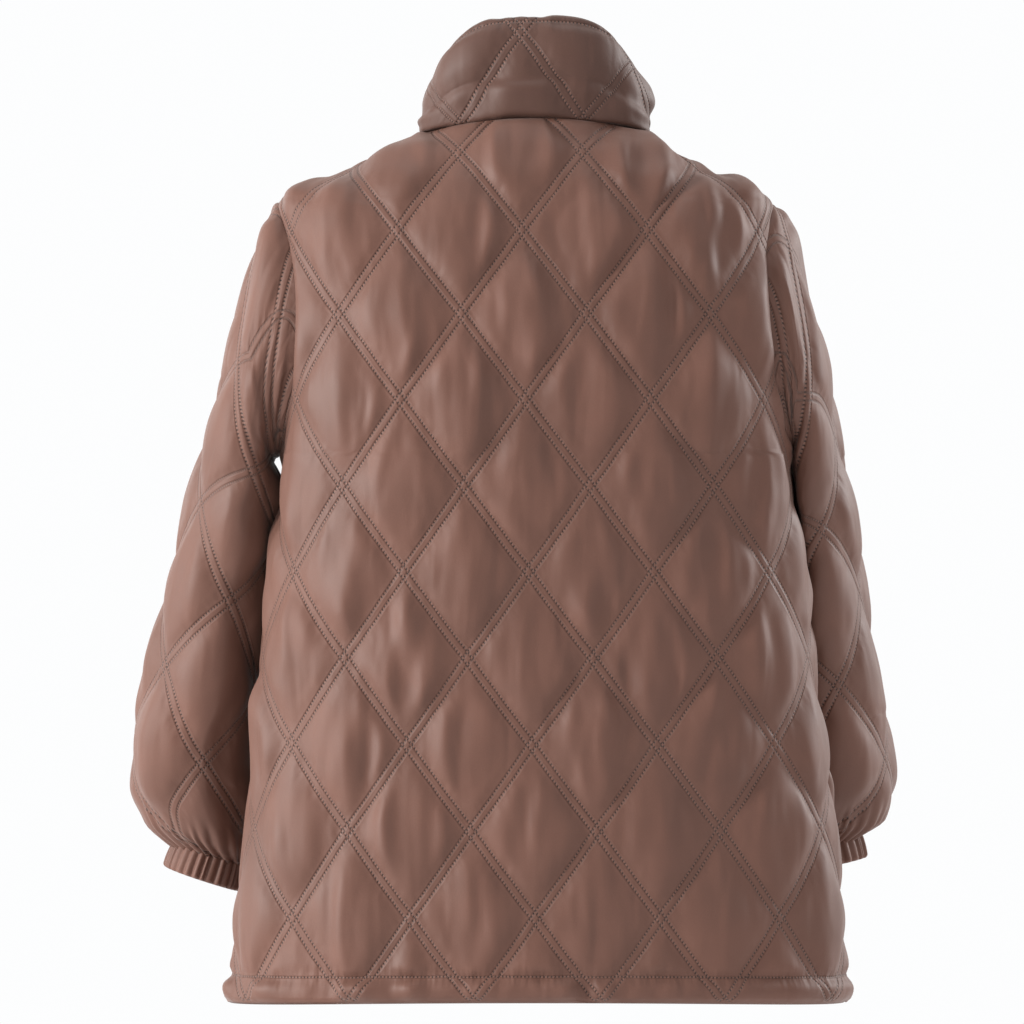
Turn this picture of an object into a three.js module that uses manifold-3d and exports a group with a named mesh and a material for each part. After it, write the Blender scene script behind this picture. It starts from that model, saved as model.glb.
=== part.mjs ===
// A quilted jacket, filled out as it is when worn: back, two fronts, stand collar, two sleeves with
// gathered elastic cuffs, and a centre-front zip whose pull tab swings on its slider.
// Millimetres, +Z up, the front of the jacket faces -Y, and the wearer's left is +X.
// The origin is the middle of the neck, level with the sides of the collar seam.
import * as THREE from "three";
import Module from "manifold-3d";
import { mergeVertices } from "three/addons/utils/BufferGeometryUtils.js";

const wasm = await Module();
wasm.setup();

// Driving sizes
const SEAM_GAP = 0.3; // between the pieces that a seam joins
const WALL = 2.4; // shell, wadding and backing pressed together at a stitch line
const SLEEVE_WALL = 1.8; // thinner, since the sleeve folds tightly under the arm
const PAD_RISE = 6.2; // how far the middle of a diamond stands above its stitch lines
const OUTSET = 6; // from the plain inside to the outline that the section tables give
const SEAM_TAPER = 15; // the wadding thins out over this width beside a seam
const DIAMOND = { width: 98, height: 135.5 };
const STEPS = 6; // grid steps across one diamond, each way
const SEAM_STEPS = 18; // closer steps where the body and the collar meet edge to edge
const HEM = { depth: 22, bottom: -688, rise: 3.6 };
const ARMHOLE = {
  top: -53,
  bottom: -250,
  backScoop: 52,
  frontScoop: 62,
  sleeveGap: 3.2, // from the armhole's edge in to the sleeve's inner edge
  sleeveTurn: 0.9, // how far the sleeve's end turns from the body's way out to the sleeve's own
};
const ARMHOLE_LEVELS = [ARMHOLE.top, ARMHOLE.top - 7, ARMHOLE.bottom + 7, ARMHOLE.bottom];
const ZIP_OPENING = 5.5; // from the centre front to each front edge
const CUFF = { height: 23, gathers: 28, rise: 2.6, wall: 2.6 };

// Where the quilting lies on the back: a crossing at this place, and its lean to one side with height
const BACK_QUILT = { across: 11, up: 609.5, lean: -0.019, leanFrom: 609.5 };
const FRONT_QUILT = { across: 0, up: 609.5, lean: 0, leanFrom: 0 };
const COLLAR_QUILT = { across: 12, up: 68, lean: 0, leanFrom: 0 };
const SLEEVE_QUILT = {
  left: { across: 46, up: 109, lean: 0, leanFrom: 0 },
  right: { across: 26, up: 182, lean: 0, leanFrom: 0 },
};

// Level sections of the body, from hem to neck. left and right are half widths, back and front half depths
// from the widest line at middle. rise and drop lift the centre back and lower the centre front.
const BODY_SECTIONS = table(
  ["z", "left", "right", "back", "front", "middle", "rise", "drop", "square"],
  [
    [-688, 251, 252, 122, 156, 16, 6, 0, 2.2],
    [-666, 245, 250, 120, 152, 16, 5, 0, 2.2],
    [-600, 239, 245, 118, 150, 16, 3, 0, 2.25],
    [-528, 231, 237, 116, 150, 15, 0, 0, 2.3],
    [-448, 225, 226, 114, 149, 15, 0, 0, 2.35],
    [-390, 220, 221, 113, 148, 15, 0, 0, 2.4],
    [-336, 212, 214, 113, 146, 14, 0, 0, 2.5],
    [-270, 205, 206, 113, 144, 14, 0, 0, 2.6],
    [-200, 205, 202, 112, 140, 12, 0, 2, 2.7],
    [-140, 206, 200, 107, 132, 8, 0, 6, 2.7],
    [-88, 208, 195, 99, 118, 3, 0, 17, 2.6],
    [-57, 210, 193, 93, 108, 0, 0, 29, 2.4],
    [-48, 206, 189, 90, 103, -1, 2, 32, 2.3],
    [-40, 186, 172, 87, 99, -2, 6, 35, 2.25],
    [-32, 164, 148, 82, 93, -3, 10, 38, 2.2],
    [-20, 141, 130, 75, 85, -4, 12, 42, 2.15],
    [-10, 113, 109, 68, 76, -5, 13, 45, 2.1],
    [-2, 98, 97, 62, 69, -5, 12, 48, 2.1],
    [2, 94, 94, 60, 67, -5, 11, 49, 2.1],
    [6, 93, 93, 59.5, 66.5, -5, 10, 49, 2.1],
  ],
);

// Level sections of the collar, on the body's last section. It slumps in two soft folds. crown is how
// squarely its edge stands up at the back, where the body's sections have 2.
const COLLAR_SECTIONS = table(
  ["z", "left", "right", "back", "front", "middle", "rise", "drop", "square", "crown"],
  [
    [6, 93, 93, 59.5, 66.5, -5, 10, 49, 2.1, 2],
    [10, 94.5, 94, 61, 67.5, -5, 15, 47, 2.1, 2.2],
    [15, 95, 94.5, 63, 68, -5, 24, 43, 2.1, 2.6],
    [20, 93, 93.5, 60, 65, -5, 28, 41, 2.1, 3],
    [28, 94, 95, 62, 65, -6, 33, 38, 2.1, 3.4],
    [39, 91, 92, 59, 62, -7, 38, 34, 2.1, 3.8],
    [49, 85, 87, 55, 59, -8, 41, 31, 2.1, 3.6],
    [54, 81, 83, 52, 57, -8, 41, 30, 2.1, 3.5],
  ],
);

// Sections along each sleeve, from where it is clear of the armhole to the cuff seam. along is the length
// down its outer side. Each section's plane turns from upright to square across the hanging arm: lean is
// the angle of its outer side from straight up.
const SLEEVE_COLUMNS = ["along", "x", "y", "z", "lean", "across", "deep"];
const SLEEVE_SECTIONS = {
  left: table(SLEEVE_COLUMNS, [
    [85, 220, 2, -196, 14, 62, 62],
    [135, 229, -8, -224, 25, 46, 68],
    [190, 233, -20, -265, 46, 45, 72],
    [250, 242, -34, -308, 62, 44, 73],
    [320, 254.5, -48, -371, 70, 47, 72],
    [390, 266, -58, -439, 73, 51, 70],
    [445, 277, -64, -492, 73, 53, 66],
    [484, 277, -68, -531, 73, 55, 58],
    [508, 271, -71, -557, 73, 50, 48],
    [520, 261, -72, -573, 72, 35, 36],
  ]),
  right: table(SLEEVE_COLUMNS, [
    [85, 207, 0, -196, 11, 61, 62],
    [135, 215, -14, -224, 22, 45, 68],
    [190, 216, -32, -268, 42, 42, 72],
    [250, 221, -52, -313, 62, 41, 73],
    [320, 226.5, -72, -374, 72, 43, 72],
    [390, 235, -88, -442, 76, 46, 70],
    [440, 239, -98, -492, 78, 52, 66],
    [478, 242, -103, -528, 79, 53, 58],
    [502, 239, -106, -551, 79, 50, 48],
    [512, 231, -107, -563, 78, 36, 36],
  ]),
};

// Rows with named columns, and a smooth curve through each column
function table(columns, rows) {
  return rows.map((row) =>
    Object.fromEntries(columns.map((name, i) => [name, row[i]])),
  );
}

// The value of one column at a place between rows: a cubic that never overshoots its rows.
function columnAt(rows, key, at, name) {
  const last = rows.length - 2;
  let i = rows.findIndex((row) => at < row[key]) - 1;
  if (i < 0) i = at < rows[0][key] ? 0 : last;
  const slope = (k) =>
    (rows[k + 1][name] - rows[k][name]) / (rows[k + 1][key] - rows[k][key]);
  const tangent = (k) => {
    if (k === 0) return slope(0);
    if (k > last) return slope(last);
    const before = slope(k - 1);
    const after = slope(k);
    return before * after <= 0 ? 0 : (2 * before * after) / (before + after);
  };
  const span = rows[i + 1][key] - rows[i][key];
  const u = (at - rows[i][key]) / span;
  const v = 1 - u;
  return (
    rows[i][name] * v * v * (1 + 2 * u) +
    rows[i + 1][name] * u * u * (3 - 2 * u) +
    tangent(i) * span * u * v * v -
    tangent(i + 1) * span * u * u * v
  );
}

function rowAt(rows, key, at) {
  return Object.fromEntries(
    Object.keys(rows[0]).map((name) => [name, columnAt(rows, key, at, name)]),
  );
}

const smooth = (x) => {
  const t = THREE.MathUtils.clamp(x, 0, 1);
  return t * t * (3 - 2 * t);
};
const signedPower = (x, power) => Math.sign(x) * Math.abs(x) ** power;

// A form is a stack of level rings. A point on it is given by its distance round the ring from the centre
// back, positive to the wearer's left, and by the ring's z.
class Form {
  static TURNS = 360;
  static FRONT_SQUARE = 2.1;

  constructor(sections) {
    this.sections = sections;
    this.rings = new Map();
  }

  // turn is 0 at the centre back, a quarter at the wearer's left side and a half at the centre front.
  ringPoint(section, turn) {
    const sine = Math.sin(turn);
    const cosine = Math.cos(turn);
    const square = cosine > 0 ? section.square : Form.FRONT_SQUARE;
    const power = 2 / square;
    const half = (sine > 0 ? section.left : section.right) - OUTSET;
    const depth = (cosine > 0 ? section.back : section.front) - OUTSET;
    const lift =
      cosine > 0
        ? section.rise * (1 - Math.abs(sine) ** (section.crown ?? 2))
        : -section.drop * cosine * cosine;
    return new THREE.Vector3(
      half * signedPower(sine, power),
      section.middle + depth * signedPower(cosine, power),
      section.z + lift,
    );
  }

  ring(z) {
    const name = z.toFixed(3);
    if (!this.rings.has(name)) {
      const section = rowAt(this.sections, "z", z);
      const points = [];
      for (let i = 0; i <= Form.TURNS; i++)
        points.push(
          this.ringPoint(section, ((2 * i) / Form.TURNS - 1) * Math.PI),
        );
      const lengths = [0];
      for (let i = 1; i < points.length; i++)
        lengths.push(lengths[i - 1] + points[i].distanceTo(points[i - 1]));
      const back = lengths[Form.TURNS / 2];
      this.rings.set(name, { points, lengths: lengths.map((x) => x - back) });
    }
    return this.rings.get(name);
  }

  place(across, z) {
    const { points, lengths } = this.ring(z);
    let low = 0;
    let high = lengths.length - 1;
    while (high - low > 1) {
      const half = (low + high) >> 1;
      if (lengths[half] <= across) low = half;
      else high = half;
    }
    const share = (across - lengths[low]) / (lengths[high] - lengths[low]);
    return points[low].clone().lerp(points[high], share);
  }

  // The point moved out from the form, square to it. At a seam the way out is kept level, so that the two
  // pieces it joins meet edge to edge.
  lifted(across, z, lift, level = false) {
    const step = 1.5;
    const zLow = Math.max(z - step, this.sections[0].z);
    const zHigh = Math.min(z + step, this.sections.at(-1).z);
    const share = across / this.side(z, Math.sign(across) || 1, 1);
    const along = (level) =>
      this.place(share * this.side(level, Math.sign(across) || 1, 1), level);
    const up = along(zHigh).sub(along(zLow));
    const round = this.place(across + step, z).sub(
      this.place(across - step, z),
    );
    const out = up.cross(round);
    if (level) out.setZ(0);
    return this.place(across, z).addScaledVector(out.normalize(), lift);
  }

  // Distance round the ring to the side seam (quarters 1) or the centre front (quarters 2)
  side(z, sign, quarters) {
    const { lengths } = this.ring(z);
    const middle = Form.TURNS / 2;
    return Math.abs(lengths[middle + (sign * quarters * Form.TURNS) / 4]);
  }

  // Length up the centre back from the first section, for each of many levels
  backLengths() {
    const levels = [];
    const step = 2;
    let length = 0;
    let before = this.place(0, this.sections[0].z);
    for (let z = this.sections[0].z; z <= this.sections.at(-1).z; z += step) {
      const here = this.place(0, z);
      length += here.distanceTo(before);
      before = here;
      levels.push({ z, length });
    }
    return levels;
  }
}

// Quilting: straight stitch lines in a diamond lattice on the flat cloth, 1 at a pad's middle and 0 on a line
function padHeight(quilt, across, up) {
  const s =
    (across - quilt.across - quilt.lean * (quilt.leanFrom - up)) /
    DIAMOND.width;
  const t = (up - quilt.up) / DIAMOND.height;
  const fullness = 0.55;
  return (
    Math.abs(Math.sin(Math.PI * (s + t)) * Math.sin(Math.PI * (s - t))) **
    fullness
  );
}

// Heights of the lattice's grid lines between low and high, none closer than a third of a step to either
function latticeStops(origin, size, low, high, steps = STEPS) {
  const step = size / steps;
  const margin = step / 3;
  const stops = [];
  for (
    let k = Math.ceil((low + margin - origin) / step);
    origin + k * step < high - margin;
    k++
  )
    stops.push({ at: origin + k * step, key: k });
  return stops;
}

// Walls: rows of stops, an outer skin with every stop and a plainer inner skin, closed by rims
class WallBuilder {
  constructor() {
    this.positions = [];
    this.faces = [];
  }

  vertex(point, at, key, height = 0) {
    this.positions.push(point.x, point.y, point.z);
    return { id: this.positions.length / 3 - 1, at, key, height };
  }

  face(a, b, c, inward) {
    if (inward) this.faces.push(a.id, c.id, b.id);
    else this.faces.push(a.id, b.id, c.id);
  }

  // Joins two rows of vertices. Where four make a cell, the diagonal joins the two nearest in height, so
  // that it follows the stitch lines.
  strip(lower, upper, inward = false) {
    let i = 0;
    let j = 0;
    while (i < lower.length - 1 || j < upper.length - 1) {
      const a = lower[i];
      const b = lower[i + 1];
      const c = upper[j];
      const d = upper[j + 1];
      let alongLower;
      if (!b) alongLower = false;
      else if (!d) alongLower = true;
      else if (a.key === c.key && b.key === d.key && a.key !== undefined)
        alongLower =
          Math.abs(b.height - c.height) < Math.abs(a.height - d.height);
      else alongLower = b.at - c.at < d.at - a.at;
      if (alongLower) {
        this.face(a, b, c, inward);
        i++;
      } else {
        this.face(a, d, c, inward);
        j++;
      }
    }
  }

  geometry() {
    const geometry = new THREE.BufferGeometry();
    geometry.setAttribute(
      "position",
      new THREE.Float32BufferAttribute(this.positions, 3),
    );
    geometry.setIndex(this.faces);
    return geometry;
  }
}

// rows: {at, stops: [{at, key, height}], place(across, lift)}. lift is measured from the plain inside. The
// inside keeps every coarse-th row and stop. With all of them it has the outside's diagonals as well, so
// that a thin wall that bends sharply never crosses itself.
function wallGeometry(rows, { closed = false, wall = WALL, coarse = 2 } = {}) {
  const builder = new WallBuilder();
  const wrap = (vertices, row) =>
    closed
      ? [...vertices, { ...vertices[0], at: vertices[0].at + row.round }]
      : vertices;
  const outer = rows.map((row) =>
    wrap(
      row.stops.map(({ at, key, height }) =>
        builder.vertex(row.place(at, wall + height), at, key, height),
      ),
      row,
    ),
  );
  const innerRows = rows.filter(
    (row, j) => j % coarse === 0 || j === rows.length - 1,
  );
  const inner = innerRows.map((row) => {
    const kept = row.stops.filter(
      (stop, i) => stop.edge || i % coarse === 0,
    );
    return wrap(
      kept.map(({ at, key, height }) =>
        coarse === 1
          ? builder.vertex(row.place(at, 0), at, key, height)
          : builder.vertex(row.place(at, 0), at),
      ),
      row,
    );
  });
  for (let j = 0; j + 1 < outer.length; j++)
    builder.strip(outer[j], outer[j + 1]);
  for (let j = 0; j + 1 < inner.length; j++)
    builder.strip(inner[j], inner[j + 1], true);
  builder.strip(inner[0], outer[0]);
  builder.strip(outer.at(-1), inner.at(-1));
  if (!closed) {
    const side = (skin, skinRows, end) =>
      skin.map((vertices, j) => ({ ...vertices.at(end), at: skinRows[j].at, key: undefined }));
    builder.strip(side(outer, rows, 0), side(inner, innerRows, 0));
    builder.strip(side(inner, innerRows, -1), side(outer, rows, -1));
  }
  return facingOut(builder.geometry());
}

function facingOut(geometry) {
  const index = geometry.getIndex();
  const position = geometry.getAttribute("position");
  const corner = [0, 1, 2].map(() => new THREE.Vector3());
  let volume = 0;
  for (let i = 0; i < index.count; i += 3) {
    corner.forEach((v, k) =>
      v.fromBufferAttribute(position, index.getX(i + k)),
    );
    volume += corner[0].dot(corner[1].cross(corner[2]));
  }
  if (volume < 0)
    for (let i = 0; i < index.count; i += 3) {
      const second = index.getX(i + 1);
      index.setX(i + 1, index.getX(i + 2));
      index.setX(i + 2, second);
    }
  return geometry;
}

// Panels of the body
const body = new Form(BODY_SECTIONS);
const collarForm = new Form(COLLAR_SECTIONS);
const bodyLengths = body.backLengths();
const collarLengths = collarForm.backLengths();
const SIDES = { left: 1, right: -1 };

function levelOf(lengths, length) {
  const i = Math.max(
    1,
    lengths.findIndex((row) => row.length >= length),
  );
  const [low, high] = [lengths[i - 1], lengths[i]];
  const share = (length - low.length) / (high.length - low.length);
  return low.z + share * (high.z - low.z);
}

function lengthOf(lengths, z) {
  const i = Math.max(
    1,
    lengths.findIndex((row) => row.z >= z),
  );
  const [low, high] = [lengths[i - 1], lengths[i === 0 ? 1 : i]];
  const share = (z - low.z) / (high.z - low.z);
  return low.length + share * (high.length - low.length);
}

// How far the armhole cuts in from the side seam at a level
function armholeScoop(z, depth) {
  const middle = (ARMHOLE.top + ARMHOLE.bottom) / 2;
  const half = (ARMHOLE.top - ARMHOLE.bottom) / 2;
  const share = (z - middle) / half;
  return Math.abs(share) < 1 ? depth * Math.sqrt(1 - share * share) : 0;
}

// Levels of a body panel's rows: the hem, the lattice, and closer rows over the shoulder
function bodyLevels() {
  const top = bodyLengths.at(-1).length;
  const shoulder = lengthOf(bodyLengths, ARMHOLE.top);
  const hemRows = [0, 3, HEM.depth / 2, HEM.depth - 4, HEM.depth];
  const low = latticeStops(BACK_QUILT.up, DIAMOND.height, HEM.depth, shoulder);
  const high = latticeStops(
    BACK_QUILT.up,
    DIAMOND.height,
    shoulder,
    top,
    2 * STEPS,
  );
  const marks = [...low, ...high].map((stop) => stop.at);
  const ends = ARMHOLE_LEVELS.map((z) => lengthOf(bodyLengths, z));
  const clear = marks.filter((up) =>
    ends.every((end) => Math.abs(up - end) > 3),
  );
  return [...hemRows, ...clear, ...ends, top]
    .sort((a, b) => a - b)
    .map((up) => ({ up, z: levelOf(bodyLengths, up) }));
}

// The hem is turned up and stitched, so it puffs below its stitch line and is pinched at it.
function hemHeight(up) {
  const below = up / HEM.depth;
  if (below < 1) return HEM.rise * Math.sin(Math.PI * below) ** 0.6;
  return 0;
}

function bodyPanel(quilt, edges, toCloth) {
  const rows = bodyLevels().map(({ up, z }) => {
    const atNeck = z === body.sections.at(-1).z;
    const [low, high] = edges(z);
    const grid = latticeStops(
      toCloth(z, 0) + toCloth(z, 1, quilt.across + quilt.lean * (quilt.leanFrom - up)),
      DIAMOND.width,
      low,
      high,
      atNeck ? SEAM_STEPS : STEPS,
    );
    const ends = [
      { at: low, edge: true },
      { at: high, edge: true },
    ];
    const stops = [ends[0], ...grid, ends[1]].map((stop) => {
      const nearSeam = Math.min(stop.at - low, high - stop.at);
      const pad =
        PAD_RISE *
        padHeight(quilt, toCloth(z, -1, stop.at), up) *
        smooth((nearSeam + 3) / SEAM_TAPER) *
        smooth((up - HEM.depth) / SEAM_TAPER) *
        smooth((bodyLengths.at(-1).length - up + 2) / SEAM_TAPER);
      return { ...stop, height: pad + hemHeight(up) };
    });
    return {
      at: up,
      stops,
      place: (across, lift) => body.lifted(across, z, lift, atNeck),
    };
  });
  return wallGeometry(rows);
}

function backPanel() {
  const edges = (z) =>
    [SIDES.right, SIDES.left].map(
      (sign) =>
        sign *
        (body.side(z, sign, 1) -
          armholeScoop(z, ARMHOLE.backScoop) -
          SEAM_GAP),
    );
  return bodyPanel(BACK_QUILT, edges, (z, way, across = 0) => (way ? across : 0));
}

// A front's cloth is measured from the centre front, so the quilting is square to the zip.
function frontPanel(sign) {
  const edges = (z) => {
    const seam =
      body.side(z, sign, 1) + armholeScoop(z, ARMHOLE.frontScoop) + SEAM_GAP;
    const front = body.side(z, sign, 2) - ZIP_OPENING;
    return [sign * seam, sign * front].sort((a, b) => a - b);
  };
  const toCloth = (z, way, across = 0) => {
    const centre = sign * body.side(z, sign, 2);
    if (way === 0) return centre;
    return way > 0 ? across : across - centre;
  };
  return bodyPanel(FRONT_QUILT, edges, toCloth);
}

function collarRows() {
  const top = collarLengths.at(-1).length;
  const hemEdge = 4;
  return [5 * SEAM_GAP, 6, 11, 18, 26, 34, 43, 53, 63, 73, top - hemEdge, top]
    .map((up) => ({ up, z: levelOf(collarLengths, up) }));
}

function collarPanel() {
  const top = collarLengths.at(-1).length;
  const rows = collarRows().map(({ up, z }) => {
    const [low, high] = [SIDES.right, SIDES.left].map(
      (sign) => sign * (collarForm.side(z, sign, 2) - ZIP_OPENING),
    );
    const steps = up < 2 ? SEAM_STEPS : 8;
    const grid = latticeStops(
      COLLAR_QUILT.across,
      DIAMOND.width,
      low,
      high,
      steps,
    );
    const stops = [
      { at: low, edge: true },
      ...grid,
      { at: high, edge: true },
    ].map((stop) => {
      const nearEdge = Math.min(stop.at - low, high - stop.at, up, top - up);
      const pad = 0.75 * PAD_RISE * padHeight(COLLAR_QUILT, stop.at, up);
      return { ...stop, height: pad * smooth((nearEdge + 2) / 10) };
    });
    return {
      at: up,
      stops,
      place: (across, lift) => collarForm.lifted(across, z, lift, up < 2),
    };
  });
  return wallGeometry(rows);
}

// Sleeves
// A point round the armhole, just inside its edge: turn is 0 at the shoulder, a quarter at the back and a
// half under the arm
function armholePoint(sign, turn, lift) {
  const middle = (ARMHOLE.top + ARMHOLE.bottom) / 2;
  const half = (ARMHOLE.top - ARMHOLE.bottom) / 2 - ARMHOLE.sleeveGap;
  const z = middle + half * Math.cos(turn);
  const back = Math.sin(turn) > 0;
  const scoop =
    Math.abs(Math.sin(turn)) *
    ((back ? ARMHOLE.backScoop : ARMHOLE.frontScoop) - ARMHOLE.sleeveGap);
  const across = sign * (body.side(z, sign, 1) + (back ? -scoop : scoop));
  const at = body.lifted(across, z, 0);
  const round = new THREE.Vector3(0, Math.sin(turn), Math.cos(turn));
  const out = body
    .lifted(across, z, 1)
    .sub(at)
    .addScaledVector(round, ARMHOLE.sleeveTurn)
    .normalize();
  return at.addScaledVector(out, lift);
}

// The turns at which the armhole's edge has its corners: one for each level of the body's rows
function armholeTurns() {
  const middle = (ARMHOLE.top + ARMHOLE.bottom) / 2;
  const half = (ARMHOLE.top - ARMHOLE.bottom) / 2;
  const inside = bodyLevels()
    .map(({ z }) => (z - middle) / half)
    .filter((share) => Math.abs(share) < 0.999)
    .map((share) => Math.acos(share));
  return [-Math.PI, ...inside.map((turn) => -turn), 0, ...inside].sort(
    (a, b) => a - b,
  );
}

// Keeps a sleeve outside the body: a point nearer than the clearance to the body's section moves out.
function clearOfBody(point, clearance) {
  const lowest = BODY_SECTIONS[0].z;
  const section = rowAt(BODY_SECTIONS, "z", Math.max(point.z, lowest));
  const y = point.y - section.middle;
  const half = (point.x > 0 ? section.left : section.right) + clearance;
  const depth = (y > 0 ? section.back : section.front) + clearance;
  const square = y > 0 ? section.square : Form.FRONT_SQUARE;
  const reach =
    (Math.abs(point.x / half) ** square + Math.abs(y / depth) ** square) **
    (1 / square);
  const soft = 0.03;
  const grow =
    reach > 1.25
      ? 1
      : (1 + soft * Math.log1p(Math.exp((reach - 1) / soft))) / reach;
  return new THREE.Vector3(
    point.x * grow,
    section.middle + y * grow,
    point.z,
  );
}

class Sleeve {
  static TURNS = 144;
  static CLEARANCE = 12.5;
  static START = 14; // how far the sleeve goes straight out from the armhole

  constructor(side) {
    this.sign = SIDES[side];
    this.sections = SLEEVE_SECTIONS[side];
    this.rings = new Map();
    this.length = this.sections.at(-1).along;
  }

  tubePoint(along, turn) {
    const s = rowAt(this.sections, "along", along);
    const lean = THREE.MathUtils.degToRad(s.lean);
    const out = new THREE.Vector3(
      this.sign * Math.sin(lean),
      0,
      Math.cos(lean),
    );
    const point = new THREE.Vector3(this.sign * s.x, s.y, s.z)
      .addScaledVector(out, (s.across - OUTSET) * Math.cos(turn))
      .add(new THREE.Vector3(0, (s.deep - OUTSET) * Math.sin(turn), 0));
    return clearOfBody(point, Sleeve.CLEARANCE);
  }

  // Near the armhole the sleeve bends from straight out to its own way down. Under the arm there is less
  // cloth than over the shoulder, so the first rows there lie closer.
  ringPoint(along, turn) {
    const clear = this.sections[0].along;
    if (along >= clear) return this.tubePoint(along, turn);
    const under = (1 - Math.cos(turn)) / 2;
    const share = (along / clear) ** (1 - 0.5 * under);
    const start = armholePoint(this.sign, turn, 0);
    const bend = start
      .clone()
      .add(new THREE.Vector3(this.sign * Sleeve.START, 0, 0));
    const end = this.tubePoint(clear, turn);
    return start
      .lerp(bend, share)
      .lerp(bend.lerp(end, share), share);
  }

  ring(along) {
    const name = along.toFixed(3);
    if (!this.rings.has(name)) {
      const points = [];
      for (let i = 0; i <= Sleeve.TURNS; i++)
        points.push(
          this.ringPoint(along, ((2 * i) / Sleeve.TURNS - 1) * Math.PI),
        );
      const lengths = [0];
      for (let i = 1; i < points.length; i++)
        lengths.push(lengths[i - 1] + points[i].distanceTo(points[i - 1]));
      const outer = lengths[Sleeve.TURNS / 2];
      this.rings.set(name, { points, lengths: lengths.map((x) => x - outer) });
    }
    return this.rings.get(name);
  }

  // Distance round the ring: 0 on the outer side, positive towards the back
  place(across, along) {
    const { points, lengths } = this.ring(along);
    const round = lengths.at(-1) - lengths[0];
    const wrapped =
      THREE.MathUtils.euclideanModulo(across - lengths[0], round) + lengths[0];
    let low = 0;
    let high = lengths.length - 1;
    while (high - low > 1) {
      const half = (low + high) >> 1;
      if (lengths[half] <= wrapped) low = half;
      else high = half;
    }
    const share = (wrapped - lengths[low]) / (lengths[high] - lengths[low]);
    return points[low].clone().lerp(points[high], share);
  }

  // The point moved out from the sleeve within its ring's own plane, so that no two rings ever cross
  lifted(across, along, lift) {
    const step = 2;
    const clear = this.sections[0].along;
    const angle = columnAt(this.sections, "along", Math.max(along, clear), "lean");
    const lean = THREE.MathUtils.degToRad(angle * Math.min(along / clear, 1));
    const axis = new THREE.Vector3(this.sign * Math.cos(lean), 0, -Math.sin(lean));
    const round = this.place(across + step, along).sub(
      this.place(across - step, along),
    );
    const out = axis.cross(round).normalize().multiplyScalar(this.sign);
    return this.place(across, along).addScaledVector(out, lift);
  }

  round(along) {
    const { lengths } = this.ring(along);
    return lengths.at(-1) - lengths[0];
  }
}

function sleeveGeometry(side) {
  const sleeve = new Sleeve(side);
  const quilt = SLEEVE_QUILT[side];
  const gatherStart = sleeve.length - 26;
  const first = [9];
  const lattice = latticeStops(
    quilt.up,
    DIAMOND.height,
    first[0],
    gatherStart,
  ).map((stop) => stop.at);
  const gathered = [sleeve.length - 13, sleeve.length - SEAM_GAP];
  const seamStops = armholeTurns().map((turn) => ({
    turn,
    at: (turn / (2 * Math.PI)) * sleeve.round(0),
    height: 0,
  }));
  // Rows near the armhole have their stops at the same shares of the way round, where they lie close.
  const shares = armholeTurns().flatMap((turn, i, turns) => [
    turn / (2 * Math.PI),
    (turn + (turns[i + 1] ?? Math.PI)) / (4 * Math.PI),
  ]);
  const seam = {
    at: 0,
    round: sleeve.round(0),
    stops: seamStops,
    place: (across, lift) =>
      armholePoint(sleeve.sign, (2 * Math.PI * across) / sleeve.round(0), lift),
  };
  const rows = [...first, ...lattice, gatherStart, ...gathered].map((along) => {
    const round = sleeve.round(along);
    const gathers = along > gatherStart + 1;
    const stops = [];
    if (gathers) {
      const count = 2 * CUFF.gathers;
      for (let k = 0; k < count; k++)
        stops.push({
          at: (k / count - 0.5) * round,
          height: k % 2 ? CUFF.rise : 0,
        });
    } else {
      const grid = latticeStops(
        quilt.across,
        DIAMOND.width,
        -round / 2,
        round / 2,
      );
      const spread = shares.map((share, key) => ({ at: share * round, key }));
      const nearArmhole = along < sleeve.sections[0].along + 10;
      const spots = nearArmhole ? spread : [{ at: -round / 2 }, ...grid];
      for (const { at, key } of spots) {
        const under = (1 - Math.cos((2 * Math.PI * at) / round)) / 2;
        const taper =
          smooth((along + 3 - 130 * under) / (SEAM_TAPER + 40 * under)) *
          smooth((sleeve.length - along) / 30) *
          smooth((round / 2 - Math.abs(at)) / SEAM_TAPER);
        stops.push({
          at,
          key,
          height: PAD_RISE * padHeight(quilt, at, along) * taper,
        });
      }
    }
    return {
      at: along,
      round,
      stops,
      place: (across, lift) => sleeve.lifted(across, along, lift),
    };
  });
  return wallGeometry([seam, ...rows], { closed: true, wall: SLEEVE_WALL, coarse: 1 });
}

// The cuff goes on from the sleeve's last ring, in the direction the sleeve ends.
function cuffGeometry(side) {
  const sleeve = new Sleeve(side);
  const end = sleeve.length;
  const last = sleeve.sections.at(-1);
  const lean = THREE.MathUtils.degToRad(last.lean);
  const down = new THREE.Vector3(
    sleeve.sign * Math.cos(lean),
    0,
    -Math.sin(lean),
  );
  const centre = new THREE.Vector3(sleeve.sign * last.x, last.y, last.z);
  const count = 2 * CUFF.gathers;
  const rows = table(
    ["down", "grow", "wave"],
    [
      [SEAM_GAP, 1, 1],
      [4, 1.02, 0.8],
      [CUFF.height / 2, 1.05, 1],
      [CUFF.height - 4, 1.06, 1],
      [CUFF.height, 1.02, 0.6],
    ],
  ).map((row) => {
    const stops = [];
    for (let k = 0; k < count; k++)
      stops.push({
        at: (k / count) * sleeve.round(end),
        height: k % 2 ? row.wave * CUFF.rise : 0,
      });
    const place = (across, lift) => {
      const at = sleeve.place(across, end);
      const radial = at.clone().sub(centre);
      const size = radial.length();
      return centre
        .clone()
        .addScaledVector(radial, (size * row.grow + lift) / size)
        .addScaledVector(down, row.down);
    };
    return { at: row.down, round: sleeve.round(end), stops, place };
  });
  return wallGeometry(rows, { closed: true, wall: CUFF.wall });
}

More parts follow.
